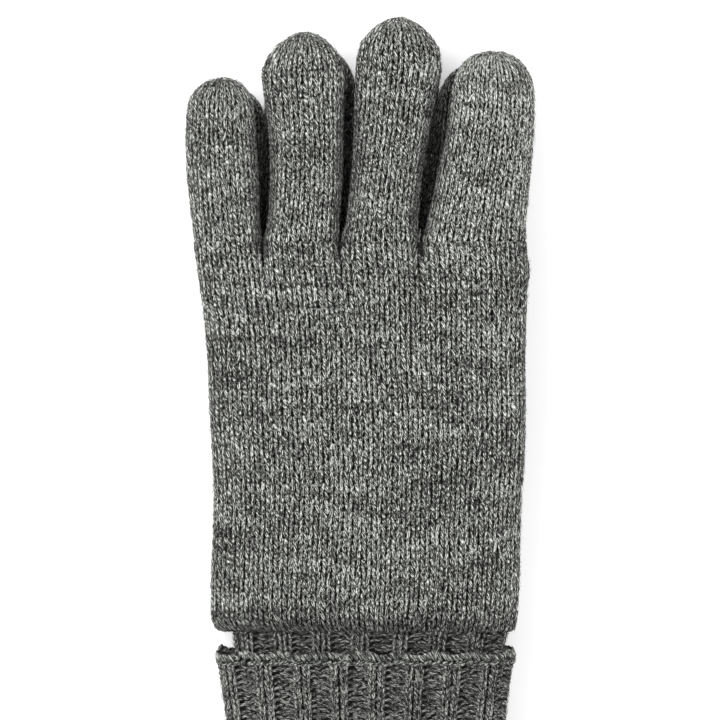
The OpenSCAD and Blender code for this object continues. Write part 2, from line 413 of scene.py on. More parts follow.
@dataclass(frozen=True)
class Knit:
    """How a yarn is knitted: the size of its stitches and how uneven they are.

    Attributes:
        LEG_BOW: How far the middle of a leg bows back, as a share of its lean.
        LEG_SINK: Depth of a leg's centre, in half thicknesses of the yarn.
        LEG_TILT: How much higher a leg's far end lies, in half thicknesses.
        LEG_ARCH: How much higher a leg's middle lies, in half thicknesses.
        BAR_HALF_L: Half the length of a level bar, as a share of a wale.
        BAR_HALF_W: Half the width of a level bar, as a share of a course.
        BAR_SAG: How much of its droop a bar gives back at its centre.
        BAR_SINK: Depth of a bar's centre, in half thicknesses.
        BAR_ARCH: How much higher a bar's middle lies, in half thicknesses.
        BAR_THICK: Thickness of a bar, as a share of the yarn's.
        BAR_SHOWN_IN_SHADE: How much of its own colour a bar shows under painted shade, deep in its
            gutter.
        FIBRE_HALF: Least and most of half the length of a loose fibre.
        FIBRE_THIN: Half the thickness of a loose fibre.
        FIBRE_LIFT: Least and most that a loose fibre stands off.
        wale: Width of a stitch.
        course: Height of a stitch.
        thick: Half of the yarn's thickness.
        lean: How far a leg leans aside, as a share of a wale.
        reach: Half of a leg's length, as a share of a course.
        uneven: How much the stitches wander, as a share of a stitch.
        fuzz: Loose fibres for each stitch.
        patchy: How much the broad patches differ in shade.
    """

    LEG_BOW: ClassVar[float] = -0.22
    LEG_SINK: ClassVar[float] = -1.15
    LEG_TILT: ClassVar[float] = 0.42
    LEG_ARCH: ClassVar[float] = 0.35
    BAR_HALF_L: ClassVar[float] = 0.52
    BAR_HALF_W: ClassVar[float] = 0.34
    BAR_SAG: ClassVar[float] = 0.6
    BAR_SINK: ClassVar[float] = -1.2
    BAR_ARCH: ClassVar[float] = 0.5
    BAR_THICK: ClassVar[float] = 0.85
    BAR_SHOWN_IN_SHADE: ClassVar[float] = 0.8
    FIBRE_HALF: ClassVar[tuple[float, float]] = (0.6, 1.8)
    FIBRE_THIN: ClassVar[float] = 0.045 * MM
    FIBRE_LIFT: ClassVar[tuple[float, float]] = (0.1, 0.55)

    wale: float
    course: float
    thick: float = 0.55 * MM
    lean: float = 0.125
    reach: float = 0.79
    uneven: float = 0.06
    fuzz: float = 1.5
    patchy: float = 0.13

    def spread(self, chance: np.random.Generator, count: int, size: float) -> Array:
        """Draws small uneven amounts, as a share of a stitch."""
        return chance.normal(0, self.uneven * size, count)

    def tones(self, chance: np.random.Generator, count: int) -> Array:
        """Draws the shade of each leg in the order in which the yarn runs.

        Args:
            chance: Where the random numbers come from.
            count: How many legs there are.

        Returns:
            Shades from 0 to 1 that drift along the yarn and jump from leg to leg.
        """
        single = chance.uniform(-0.5, 0.5, count)
        drift = np.convolve(chance.normal(0, 1, count + 8), np.ones(9) / 3, mode="valid")
        return np.clip(0.5 + 0.42 * single + 0.2 * drift, 0, 1)

    def patches(self, u: Array, v: Array) -> Array:
        """Draws the broad pale and dark patches that several courses share.

        Args:
            u: Places round the fabric, in wales.
            v: Places along the fabric, in courses.

        Returns:
            What each place adds to the yarn's shade.
        """
        over = np.sin(u / 2.7 + 1.7 * np.sin(v / 4.3))
        up = np.sin(v / 3.9 + 1.3 * np.sin(u / 5.1))
        return self.patchy * over * up

    def legs(
        self, u: Array, v: Array, lean: Array, wide: Array, chance: np.random.Generator
    ) -> Yarn:
        """Makes upright legs, each leaning to one side.

        Args:
            u: Centres round the fabric.
            v: Centres along the fabric.
            lean: Lean of each leg to the side, as a share of a wale.
            wide: Half width of each leg, as a share of a wale.
            chance: Where the random numbers come from.

        Returns:
            The legs, their upper ends in front.
        """
        count = len(u)
        length = self.reach * (1 + self.spread(chance, count, 1.6))
        swing = lean * (1 + self.spread(chance, count, 3)) + self.spread(chance, count, 0.4)
        along = np.stack([swing, length], axis=1)
        width = wide * (1 + self.spread(chance, count, 1.6))
        slant = swing * (self.wale / self.course) ** 2 / length
        return Yarn(
            u=u + self.spread(chance, count, 0.6),
            v=v + self.spread(chance, count, 1.0),
            along=along,
            aside=np.stack([width, -width * slant], axis=1),
            bow=np.stack([self.LEG_BOW * lean, np.zeros(count)], axis=1),
            rise=(self.LEG_SINK + self.spread(chance, count, 1.2)) * self.thick,
            tilt=np.full(count, self.LEG_TILT * self.thick),
            arch=np.full(count, self.LEG_ARCH * self.thick),
            thick=self.thick * (1 + self.spread(chance, count, 1.5)),
            tone=self.tones(chance, count) + self.patches(u, v),
            shown=np.ones(count),
        )

    def bars(self, u: Array, v: Array, droop: Array, chance: np.random.Generator) -> Yarn:
        """Makes the level loops that show where a stitch faces inward.

        Args:
            u: Centres round the fabric.
            v: Centres along the fabric.
            droop: How far the middle of each bar lies above its ends, as a share of a course.
            chance: Where the random numbers come from.

        Returns:
            The bars.
        """
        count = len(u)
        half = self.BAR_HALF_L * (1 + self.spread(chance, count, 1.6))
        along = np.stack([half, self.spread(chance, count, 2.4)], axis=1)
        slant = self.spread(chance, count, 0.2)
        return Yarn(
            u=u + self.spread(chance, count, 1),
            v=v + self.spread(chance, count, 1.4) - self.BAR_SAG * droop,
            along=along,
            aside=np.stack([slant, np.full(count, self.BAR_HALF_W)], axis=1),
            bow=np.stack([np.zeros(count), droop], axis=1),
            rise=np.full(count, self.BAR_SINK * self.thick),
            tilt=self.spread(chance, count, 2) * self.thick,
            arch=np.full(count, self.BAR_ARCH * self.thick),
            thick=np.full(count, self.BAR_THICK * self.thick),
            tone=self.tones(chance, count),
            # Painted shade: bars deep in their gutters are drawn darker.
            shown=np.full(count, self.BAR_SHOWN_IN_SHADE),
        )

    def fibres(self, fabric: Fabric, chance: np.random.Generator, count: int) -> Yarn:
        """Makes fine loose fibres that stand a little off the fabric.

        Args:
            fabric: The fabric that they stand on.
            chance: Where the random numbers come from.
            count: How many fibres there are.

        Returns:
            The fibres.
        """
        turn = chance.uniform(0, math.tau, count)
        half = chance.uniform(*self.FIBRE_HALF, count) * MM
        thin = self.FIBRE_THIN
        stitch = np.array([self.wale, self.course])
        along = np.stack([np.cos(turn) * half, np.sin(turn) * half], axis=1) / stitch
        aside = np.stack([-np.sin(turn) * thin, np.cos(turn) * thin], axis=1) / stitch
        bow = np.stack([chance.normal(0, 0.12, count), chance.normal(0, 0.15, count)], axis=1)
        lift = chance.uniform(*self.FIBRE_LIFT, count) * MM
        return Yarn(
            u=chance.uniform(0, fabric.wales, count),
            v=chance.uniform(0.3, fabric.courses - 0.2, count),
            along=along,
            aside=aside,
            bow=bow,
            rise=lift * 0.55,
            tilt=lift * 0.6,
            arch=chance.uniform(0, 0.3, count) * MM,
            thick=np.full(count, thin),
            tone=chance.uniform(0.35, 1, count),
            shown=np.ones(count),
        )


# Places of a stitch's two legs in its wale, and half the width of a leg in plain and ribbed cloth
LEGS_AT = (0.26, 0.74)
PLAIN_HALF_W = 0.215
RIB_HALF_W = 0.23
# How much wider apart the four legs of a rib lie than those of plain cloth
RIB_SPREAD = 1.1
# Fullness under which two wales are knitted as one, and under which four are
MERGE_TWO = 0.45
MERGE_FOUR = 0.22


def plain_courses(
    fabric: Fabric, knit: Knit, chance: np.random.Generator, first: float, last: float, phase: float
) -> Yarn:
    """Covers a fabric with plain stitches, narrowing to fewer wales where it closes.

    Args:
        fabric: The fabric to cover.
        knit: How the yarn is knitted.
        chance: Where the random numbers come from.
        first: The first course.
        last: The last course.
        phase: Where the first wale starts, in wales.

    Returns:
        Two legs for each stitch, meeting at the top.
    """
    u, v, lean, wide = [], [], [], []
    for place in np.arange(first + 0.5, last, 1.0):
        full = float(fabric.fullness(np.array([place]))[0])
        merge = 1 if full > MERGE_TWO else 2 if full > MERGE_FOUR else 4
        step = merge if fabric.wales % merge == 0 else 1
        starts = np.arange(0, fabric.wales, step) + phase
        u.append(np.stack([starts + at * step for at in LEGS_AT], axis=1).ravel())
        v.append(np.full(2 * len(starts), place))
        lean.append(np.tile([knit.lean * step, -knit.lean * step], len(starts)))
        wide.append(np.full(2 * len(starts), PLAIN_HALF_W * step))
    return knit.legs(*[np.concatenate(part) for part in (u, v, lean, wide)], chance)


def rib_courses(
    fabric: Fabric, knit: Knit, chance: np.random.Generator, upright: bool, phase: float
) -> Yarn:
    """Covers a fabric with ribs two wales wide and gutters two wales wide.

    Args:
        fabric: The fabric to cover.
        knit: How the yarn is knitted.
        chance: Where the random numbers come from.
        upright: True where the legs meet at the top, False where they meet at the foot.
        phase: Where the first rib starts, in wales.

    Returns:
        Legs on the ribs and bars in the gutters.
    """
    courses = np.arange(0.5, fabric.courses, 1.0)
    ribs = np.array([w for w in range(fabric.wales) if w % REPEAT < 2]) + phase
    gutters = np.array([w for w in range(fabric.wales) if w % REPEAT >= 2]) + phase
    wale, course = [grid.ravel() for grid in np.meshgrid(ribs, courses)]
    centre = np.floor((wale - phase) / REPEAT) * REPEAT + 1 + phase
    u = np.stack([wale + at for at in LEGS_AT], axis=1)
    u = (centre[:, None] + (u - centre[:, None]) * RIB_SPREAD).ravel()
    v = np.repeat(course, 2)
    way = 1 if upright else -1
    lean = np.tile([knit.lean * way, -knit.lean * way], len(wale))
    legs = knit.legs(u, v, lean, np.full(len(u), RIB_HALF_W), chance)
    if not upright:
        legs = replace(legs, tilt=-legs.tilt)
    wale, course = [grid.ravel() for grid in np.meshgrid(gutters, courses)]
    heads = knit.bars(wale + 0.5, course + 0.25, np.full(len(wale), 0.3), chance)
    feet = knit.bars(wale + 1.0, course - 0.25, np.full(len(wale), -0.3), chance)
    return legs.join(heads).join(feet)


def edge_chain(fabric: Fabric, knit: Knit, chance: np.random.Generator) -> Yarn:
    """Covers a narrow band with the slanting double chain of a cast-off edge.

    Args:
        fabric: The band.
        knit: How the yarn is knitted.
        chance: Where the random numbers come from.

    Returns:
        Two rows of slanting legs that lean opposite ways.
    """
    rows = []
    for row, way in ((0.3, 1.0), (0.72, -1.0)):
        u = np.arange(0, fabric.wales, 0.5)
        count = len(u)
        one = np.ones(count)
        along = np.stack([0.42 * one, 0.2 * way * fabric.courses * one], axis=1)
        rows.append(
            Yarn(
                u=u + knit.spread(chance, count, 1.2) + 0.15 * way,
                v=row * fabric.courses * one + knit.spread(chance, count, 1.5),
                along=along * (1 + knit.spread(chance, count, 2))[:, None],
                aside=np.stack([-0.06 * way * one, 0.16 * fabric.courses * one], axis=1),
                bow=np.zeros((count, 2)),
                rise=(knit.spread(chance, count, 2.5) - 0.9) * knit.thick,
                tilt=0.3 * way * knit.thick * one,
                arch=0.5 * knit.thick * one,
                thick=knit.thick * (1 + knit.spread(chance, count, 2)),
                tone=knit.tones(chance, count),
                shown=one,
            )
        )
    return rows[0].join(rows[1])


@dataclass(frozen=True)
class Finish:
    """A marled yarn: a dark and a light ply twisted together, with loose fibre over them.

    Attributes:
        name: Name of the material.
        slot: The record's slot that it stands for.
        dark_ply_and_shade: Colour of the dark ply, and of all painted shade.
        grey: Colour of the mixed fibre.
        light: Colour of the light ply.
        twist: Plies that pass one point of the yarn in a millimetre, negative to wind leftward.
        plies: How many plies show round the yarn.
        streak: How much the plies differ.
        fibre: How much the fibres differ.
        heather: How much one length of yarn differs from the next.
        flank_shade: How much of the yarn's colour painted shade leaves low on its flanks.
        stroke: Fineness of the fibres round the yarn and along it.
        grain: Spacing, detail and roughness of the fibres' pattern.
        glint: Lightness of metal fibre in the yarn, 0 for none.
    """

    name: str
    slot: str
    dark_ply_and_shade: tuple[float, float, float] = (0.006, 0.0062, 0.0057)
    grey: tuple[float, float, float] = (0.075, 0.078, 0.071)
    light: tuple[float, float, float] = (0.86, 0.88, 0.83)
    twist: float = -0.48
    plies: float = 6.0
    streak: float = 0.18
    fibre: float = 3.3
    heather: float = 0.26
    flank_shade: float = 0.12
    stroke: tuple[float, float] = (0.15, 0.52)
    grain: tuple[float, float, float] = (1.6, 2.5, 0.72)
    glint: float = 0.0

    def material(self) -> bpy.types.Material:
        """Builds the material's nodes.

        Returns:
            The material.
        """
        made = bpy.data.materials.new(self.name)
        made.use_nodes = True
        tree = made.node_tree
        surface = tree.nodes["Principled BSDF"]
        surface.inputs["Roughness"].default_value = 0.88
        surface.inputs["Specular IOR Level"].default_value = 0.15
        surface.inputs["Sheen Weight"].default_value = 0.08
        surface.inputs["Sheen Roughness"].default_value = 0.45
        surface.inputs["Sheen Tint"].default_value = (0.9, 0.92, 0.9, 1)
        yarn = self.attribute(tree, "yarn_place")
        tone = self.attribute(tree, "yarn_tone").outputs["Fac"]
        # Share of the colour that painted shade leaves, stored on each point of the mesh.
        shown = self.attribute(tree, "yarn_shown").outputs["Fac"]
        parts = tree.nodes.new("ShaderNodeSeparateXYZ")
        tree.links.new(yarn.outputs["Vector"], parts.inputs[0])
        turn = self.maths(tree, "ARCTAN2", parts.outputs["Y"], parts.outputs["X"])
        wound = self.maths(tree, "MULTIPLY", turn, self.plies)
        run = self.maths(tree, "MULTIPLY", parts.outputs["Z"], self.twist * math.tau)
        ply = self.maths(tree, "SINE", self.maths(tree, "ADD", wound, run))
        fibre = self.fibre_noise(tree, parts, wound, run, tone)
        level = self.maths(tree, "MULTIPLY", ply, self.streak)
        level = self.maths(tree, "ADD", level, self.maths(tree, "MULTIPLY", fibre, self.fibre))
        level = self.maths(tree, "ADD", level, self.maths(tree, "MULTIPLY", tone, self.heather))
        level = self.maths(tree, "SUBTRACT", level, (self.fibre + self.heather - 1) / 2)
        ramp = tree.nodes.new("ShaderNodeValToRGB")
        ramp.color_ramp.elements[0].position = 0.1
        ramp.color_ramp.elements[0].color = (*self.dark_ply_and_shade, 1)
        ramp.color_ramp.elements[1].position = 1.0
        ramp.color_ramp.elements[1].color = (*self.light, 1)
        middle = ramp.color_ramp.elements.new(0.5)
        middle.color = (*self.grey, 1)
        tree.links.new(level, ramp.inputs["Fac"])
        shade = tree.nodes.new("ShaderNodeMix")
        shade.data_type = "RGBA"
        # Painted shade: the colour mixes toward the dark ply on the flanks, in crevices and on the
        # ground cloth.
        shade.inputs["A"].default_value = (*self.dark_ply_and_shade, 1)
        tree.links.new(self.edge_shade(tree, parts, shown), shade.inputs["Factor"])
        tree.links.new(ramp.outputs["Color"], shade.inputs["B"])
        tree.links.new(shade.outputs["Result"], surface.inputs["Base Color"])
        if self.glint:
            self.add_glint(tree, surface, parts, level)
        bump = tree.nodes.new("ShaderNodeBump")
        bump.inputs["Strength"].default_value = 0.7
        bump.inputs["Distance"].default_value = 0.25 * MM
        tree.links.new(level, bump.inputs["Height"])
        tree.links.new(bump.outputs["Normal"], surface.inputs["Normal"])
        return made

    @staticmethod
    def attribute(tree: bpy.types.NodeTree, name: str) -> bpy.types.Node:
        """Reads an attribute of the mesh.

        Args:
            tree: The material's nodes.
            name: The attribute's name.

        Returns:
            The node that reads it.
        """
        node = tree.nodes.new("ShaderNodeAttribute")
        node.attribute_name = name
        return node

    @staticmethod
    def maths(
        tree: bpy.types.NodeTree,
        operation: str,
        first: bpy.types.NodeSocket | float,
        second: bpy.types.NodeSocket | float = 0.0,
    ) -> bpy.types.NodeSocket:
        """Adds one sum to the tree.

        Args:
            tree: The material's nodes.
            operation: What the node works out.
            first: Its first value or link.
            second: Its second value or link.

        Returns:
            The result's socket.
        """
        node = tree.nodes.new("ShaderNodeMath")
        node.operation = operation
        for socket, value in zip(node.inputs, (first, second)):
            if isinstance(value, bpy.types.NodeSocket):
                tree.links.new(value, socket)
            else:
                socket.default_value = value
        return node.outputs[0]

    def fibre_noise(
        self,
        tree: bpy.types.NodeTree,
        parts: bpy.types.Node,
        wound: bpy.types.NodeSocket,
        run: bpy.types.NodeSocket,
        tone: bpy.types.NodeSocket,
    ) -> bpy.types.NodeSocket:
        """Draws the light and dark fibres, long the way that the plies wind.

        Args:
            tree: The material's nodes.
            parts: The place on the yarn: aside, up and along.
            wound: The angle round the yarn.
            run: The turns along the yarn.
            tone: How light the yarn is.

        Returns:
            The noise, from 0 to 1.
        """
        place = tree.nodes.new("ShaderNodeCombineXYZ")
        winding = self.maths(tree, "ADD", wound, run)
        steps = ((winding, self.stroke[0]), (parts.outputs["Z"], self.stroke[1]), (tone, 31.0))
        for (value, step), socket in zip(steps, place.inputs):
            tree.links.new(self.maths(tree, "MULTIPLY", value, step), socket)
        noise = tree.nodes.new("ShaderNodeTexNoise")
        for name, value in zip(("Scale", "Detail", "Roughness"), self.grain):
            noise.inputs[name].default_value = value
        tree.links.new(place.outputs[0], noise.inputs["Vector"])
        return noise.outputs["Fac"]

    def edge_shade(
        self, tree: bpy.types.NodeTree, parts: bpy.types.Node, shown: bpy.types.NodeSocket
    ) -> bpy.types.NodeSocket:
        """Paints shade on the flanks of each length of yarn, where it sinks between its neighbours.

        Args:
            tree: The material's nodes.
            parts: The place on the yarn: aside, up and along.
            shown: How much of the yarn's own colour shows; the rest is painted shade.

        Returns:
            The share of the yarn's own colour, less on the flanks where shade is painted.
        """
        flank_shade = tree.nodes.new("ShaderNodeMapRange")
        flank_shade.interpolation_type = "SMOOTHSTEP"
        flank_shade.inputs["From Min"].default_value = 0.0
        flank_shade.inputs["From Max"].default_value = 0.85
        flank_shade.inputs["To Min"].default_value = self.flank_shade
        flank_shade.inputs["To Max"].default_value = 1.0
        tree.links.new(parts.outputs["Y"], flank_shade.inputs["Value"])
        return self.maths(tree, "MULTIPLY", flank_shade.outputs["Result"], shown)

    def add_glint(
        self,
        tree: bpy.types.NodeTree,
        surface: bpy.types.Node,
        parts: bpy.types.Node,
        level: bpy.types.NodeSocket,
    ) -> None:
        """Adds flecks of conductive metal fibre.

        Args:
            tree: The material's nodes.
            surface: The shader.
            parts: The place on the yarn.
            level: How light the yarn is at each point.
        """
        speck = tree.nodes.new("ShaderNodeTexNoise")
        speck.inputs["Scale"].default_value = 2.3
        tree.links.new(parts.outputs["Z"], speck.inputs["Vector"])
        strong = self.maths(tree, "MULTIPLY", speck.outputs["Fac"], level)
        fleck = self.maths(tree, "GREATER_THAN", strong, 1.0 - self.glint)
        tree.links.new(fleck, surface.inputs["Metallic"])


class Piece:
    """Builds one knitted piece: its shell, its stitches and its fibres, as one mesh.

    Attributes:
        WALL: Thickness of the ground cloth.
        GROUND: Height of the ground cloth's outer skin, below the tops of the stitches.
        GROUND_TONE: Shade of the ground cloth, from 0 to 1.
        GROUND_SHOWN_IN_SHADE: How much colour the outer skin shows between the stitches, under
            painted shade.
        INNER_SHOWN_IN_SHADE: How much colour the inner skin shows, under painted shade.
        CONTACT: Room kept from the floor and from the other glove.
        MERGE: Distance under which two points of the shell are one.
    """

    WALL = 1.2 * MM
    GROUND = -1.1 * MM
    GROUND_TONE = 0.35
    GROUND_SHOWN_IN_SHADE = 0.03
    INNER_SHOWN_IN_SHADE = 0.5
    CONTACT = 0.02 * MM
    MERGE = 0.02 * MM

    def __init__(self, name: str, side: Side, fabric: Fabric, knit: Knit, meeting: float) -> None:
        """Starts a piece.

        Args:
            name: The piece's name, without its side.
            side: The glove that it belongs to.
            fabric: The surface that it follows, in the glove's own frame.
            knit: How its yarn is knitted.
            meeting: Height of the plane where the two gloves meet.
        """
        self.name = f"{side.value}_{name}"
        self.side = side
        self.fabric = fabric
        self.knit = knit
        self.meeting = meeting
        self.chance = np.random.default_rng(sum(map(ord, self.name)))
        self.meshes: list[tuple[bpy.types.Mesh, Array, Array, Array]] = []

    def world(self, points: Array) -> Array:
        """Moves points to their place in the pair, flat where they touch another surface.

        Args:
            points: Points in the glove's own frame.

        Returns:
            The points in the pair's frame, clear of the floor and of the other glove.
        """
        placed = points.copy()
        placed[..., 2] = np.maximum(placed[..., 2], self.CONTACT)
        if self.side is Side.RIGHT:
            placed[..., 2] = -np.minimum(placed[..., 2], self.meeting - self.CONTACT)
        placed[..., 2] += self.meeting
        return placed

    def add_shell(self, closed: bool) -> "Piece":
        """Adds the ground cloth: an outer and an inner skin that meet at the open ends.

        Args:
            closed: True where the far end of the fabric closes to a point.

        Returns:
            This piece.
        """
        fabric = self.fabric
        rows = np.linspace(0, fabric.courses, max(8, fabric.courses // 2))
        inner = [(v, self.GROUND - self.WALL) for v in rows]
        outer = [(v, self.GROUND) for v in rows]
        profile = np.array(inner[::-1] + outer if closed else outer + inner[::-1] + outer[:1])
        columns = fabric.wales * 2
        shell = bmesh.new()
        bmesh.ops.create_grid(shell, x_segments=columns, y_segments=len(profile) - 1, size=0.5)
        places = np.array([vertex.co for vertex in shell.verts])
        u = (places[:, 0] + 0.5) * fabric.wales
        row = np.rint((places[:, 1] + 0.5) * (len(profile) - 1)).astype(int)
        points = self.world(fabric.place(u, profile[row, 0], profile[row, 1]))
        skin = shell.verts.layers.float.new("skin")
        within = profile[row, 1] < self.GROUND - self.WALL / 2
        for vertex, point, inner_skin in zip(shell.verts, points, within):
            vertex.co = point
            # Painted shade: the outer skin is drawn close to black between the stitches, the inner
            # skin half dark.
            vertex[skin] = self.INNER_SHOWN_IN_SHADE if inner_skin else self.GROUND_SHOWN_IN_SHADE
        bmesh.ops.remove_doubles(shell, verts=shell.verts, dist=self.MERGE)
        bmesh.ops.recalc_face_normals(shell, faces=shell.faces)
        mesh = bpy.data.meshes.new(self.name + "_shell")
        shell.to_mesh(mesh)
        shell.free()
        count = len(mesh.vertices)
        spots = np.array([vertex.co for vertex in mesh.vertices]) / MM
        place = np.stack([spots[:, 0] * 0.5, spots[:, 2] * 0.5, spots[:, 1]], axis=1)
        shown = np.empty(count, np.float32)
        mesh.attributes["skin"].data.foreach_get("value", shown)
        self.meshes.append((mesh, place, np.full(count, self.GROUND_TONE), shown))
        return self

    def add_yarn(self, yarn: Yarn, detail: Detail) -> "Piece":
        """Adds lengths of yarn, each a copy of one small ball stretched along its leg.

        Args:
            yarn: The lengths of yarn.
            detail: How many faces each has.

        Returns:
            This piece.
        """
        if not len(yarn.u):
            return self
        mesh, unit = repeated_ball(self.name + "_yarn", detail, len(yarn.u))
        points, place = yarn.surface(self.fabric, unit)
        mesh.vertices.foreach_set("co", self.world(points).ravel())
        if ball_volume(mesh, len(unit)) < 0:
            mesh.flip_normals()
        tone = np.repeat(yarn.tone, len(unit))
        shown = np.repeat(yarn.shown, len(unit))
        self.meshes.append((mesh, place.reshape(-1, 3), tone, shown))
        return self

    def add_fibres(self) -> "Piece":
        """Adds the loose fibres that stand off the whole piece.

        Returns:
            This piece.
        """
        stitches = self.fabric.wales * self.fabric.courses
        count = int(stitches * self.knit.fuzz)
        yarn = self.knit.fibres(self.fabric, self.chance, count)
        return self.add_yarn(yarn, Detail.FIBRE)

    def finish(self, material: bpy.types.Material, slot: str) -> bpy.types.Object:
        """Joins what was added into one object.

        Args:
            material: The piece's material.
            slot: Not used.

        Returns:
            The object, in its place in the pair.
        """
        whole = bmesh.new()
        for mesh, _, _, _ in self.meshes:
            whole.from_mesh(mesh)
        made = bpy.data.meshes.new(self.name)
        whole.to_mesh(made)
        whole.free()
        place = np.concatenate([part[1] for part in self.meshes])
        tone = np.concatenate([part[2] for part in self.meshes])
        shown = np.concatenate([part[3] for part in self.meshes])
        attribute = made.attributes.new("yarn_place", "FLOAT_VECTOR", "POINT")
        attribute.data.foreach_set("vector", place.astype(np.float32).ravel())
        for name, values in (("yarn_tone", tone), ("yarn_shown", shown)):
            attribute = made.attributes.new(name, "FLOAT", "POINT")
            attribute.data.foreach_set("value", values.astype(np.float32))
        made.polygons.foreach_set("use_smooth", np.ones(len(made.polygons), bool))
        made.materials.append(material)
        made.update()
        for mesh, _, _, _ in self.meshes:
            bpy.data.meshes.remove(mesh)
        obj = bpy.data.objects.new(self.name, made)
        bpy.context.scene.collection.objects.link(obj)
        triangles = sum(len(face.vertices) - 2 for face in made.polygons)
        LOG.info("%s: %d triangles", self.name, triangles)
        return obj


def repeated_ball(name: str, detail: Detail, count: int) -> tuple[bpy.types.Mesh, Array]:
    """Repeats one small ball many times in one mesh.

    Args:
        name: Name of the mesh.
        detail: How many faces the ball has.
        count: How many copies there are.

    Returns:
        The mesh, with the copies one after another, and the points of one ball: aside, up, along.
    """
    around, rings = detail.value
    ball = bmesh.new()
    bmesh.ops.create_uvsphere(ball, u_segments=around, v_segments=rings + 1, radius=1.0)
    unit = np.array([vertex.co for vertex in ball.verts])
    single = bpy.data.meshes.new(name + "_single")
    ball.to_mesh(single)
    ball.free()
    holder = bpy.data.objects.new(name + "_single", single)
    bpy.context.scene.collection.objects.link(holder)
    array = holder.modifiers.new("repeat", "ARRAY")
    array.count = count
    array.use_relative_offset = False
    graph = bpy.context.evaluated_depsgraph_get()
    mesh = bpy.data.meshes.new_from_object(holder.evaluated_get(graph), depsgraph=graph)
    bpy.data.objects.remove(holder)
    bpy.data.meshes.remove(single)
    return mesh, unit


def ball_volume(mesh: bpy.types.Mesh, size: int) -> float:
    """Measures the signed volume of the first ball of a mesh of copies.

    Args:
        mesh: The mesh.
        size: How many points a ball has.

    Returns:
        The volume, negative where the ball is inside out.
    """
    total = 0.0
    for face in mesh.polygons:
        if max(face.vertices) >= size:
            break
        corners = [mesh.vertices[i].co for i in face.vertices]
        for second, third in zip(corners[1:], corners[2:]):
            total += corners[0].dot(second.cross(third))
    return total


@dataclass
class FingerShape:
    """One finger as it lies: its centre line, its widths and its tip.

    Attributes:
        x: Centre across at the root, the middle and the shoulder.
        w: Width at the root, the middle and the shoulder.
        wales: Stitches round the finger.
        point: How pointed the tip is; 1 is a half ellipse and less is blunter.
        tip_lean: How far the tip leans toward the thumb.
        pale: How much lighter the finger's stitches are drawn than the hand's.
        tip: Place of the tip along the hand.
    """

    x: tuple[float, ...]
    w: tuple[float, ...]
    wales: int
    point: float
    tip_lean: float
    pale: float
    tip: float = 0.0

    def straightened(self, shift: float, extra: float) -> "FingerShape":
        """Gives the same finger with straight sides, as the lower glove's lie.

        Args:
            shift: How far its shoulder moves toward the thumb.
            extra: How much wider its shoulder is.

        Returns:
            The straight finger.
        """
        x = (self.x[0], (self.x[0] + self.x[2] + shift) / 2, self.x[2] + shift)
        w = (self.w[0], (self.w[0] + self.w[2] + extra) / 2, self.w[2] + extra)
        return replace(self, x=x, w=w)


# The fingers of the upper glove, and how far the lower glove's shoulders are shifted and widened
UPPER_FINGERS = {
    Finger.LITTLE: FingerShape(
        in_metres(-40.2, -42.3, -42.6), in_metres(20.6, 22.6, 21.6), 20, 0.92, 0.9 * MM, 0.05
    ),
    Finger.RING: FingerShape(
        in_metres(-17.8, -16.6, -17.3), in_metres(23.2, 23.0, 26.3), 20, 1.25, 0.6 * MM, 0.08
    ),
    Finger.MIDDLE: FingerShape(
        in_metres(6.3, 8.9, 12.0), in_metres(23.4, 23.2, 27.0), 20, 1.25, 0.0, 0.05
    ),
    Finger.INDEX: FingerShape(
        in_metres(34.7, 38.5, 40.8), in_metres(31.8, 29.0, 26.0), 24, 0.8, 0.3 * MM, 0.32
    ),
}
LOWER_CHANGE = {
    Finger.LITTLE: in_metres(1.3, 1.4),
    Finger.RING: in_metres(1.6, 0.3),
    Finger.MIDDLE: in_metres(0.0, -1.2),
    Finger.INDEX: in_metres(-2.0, 2.4),
}


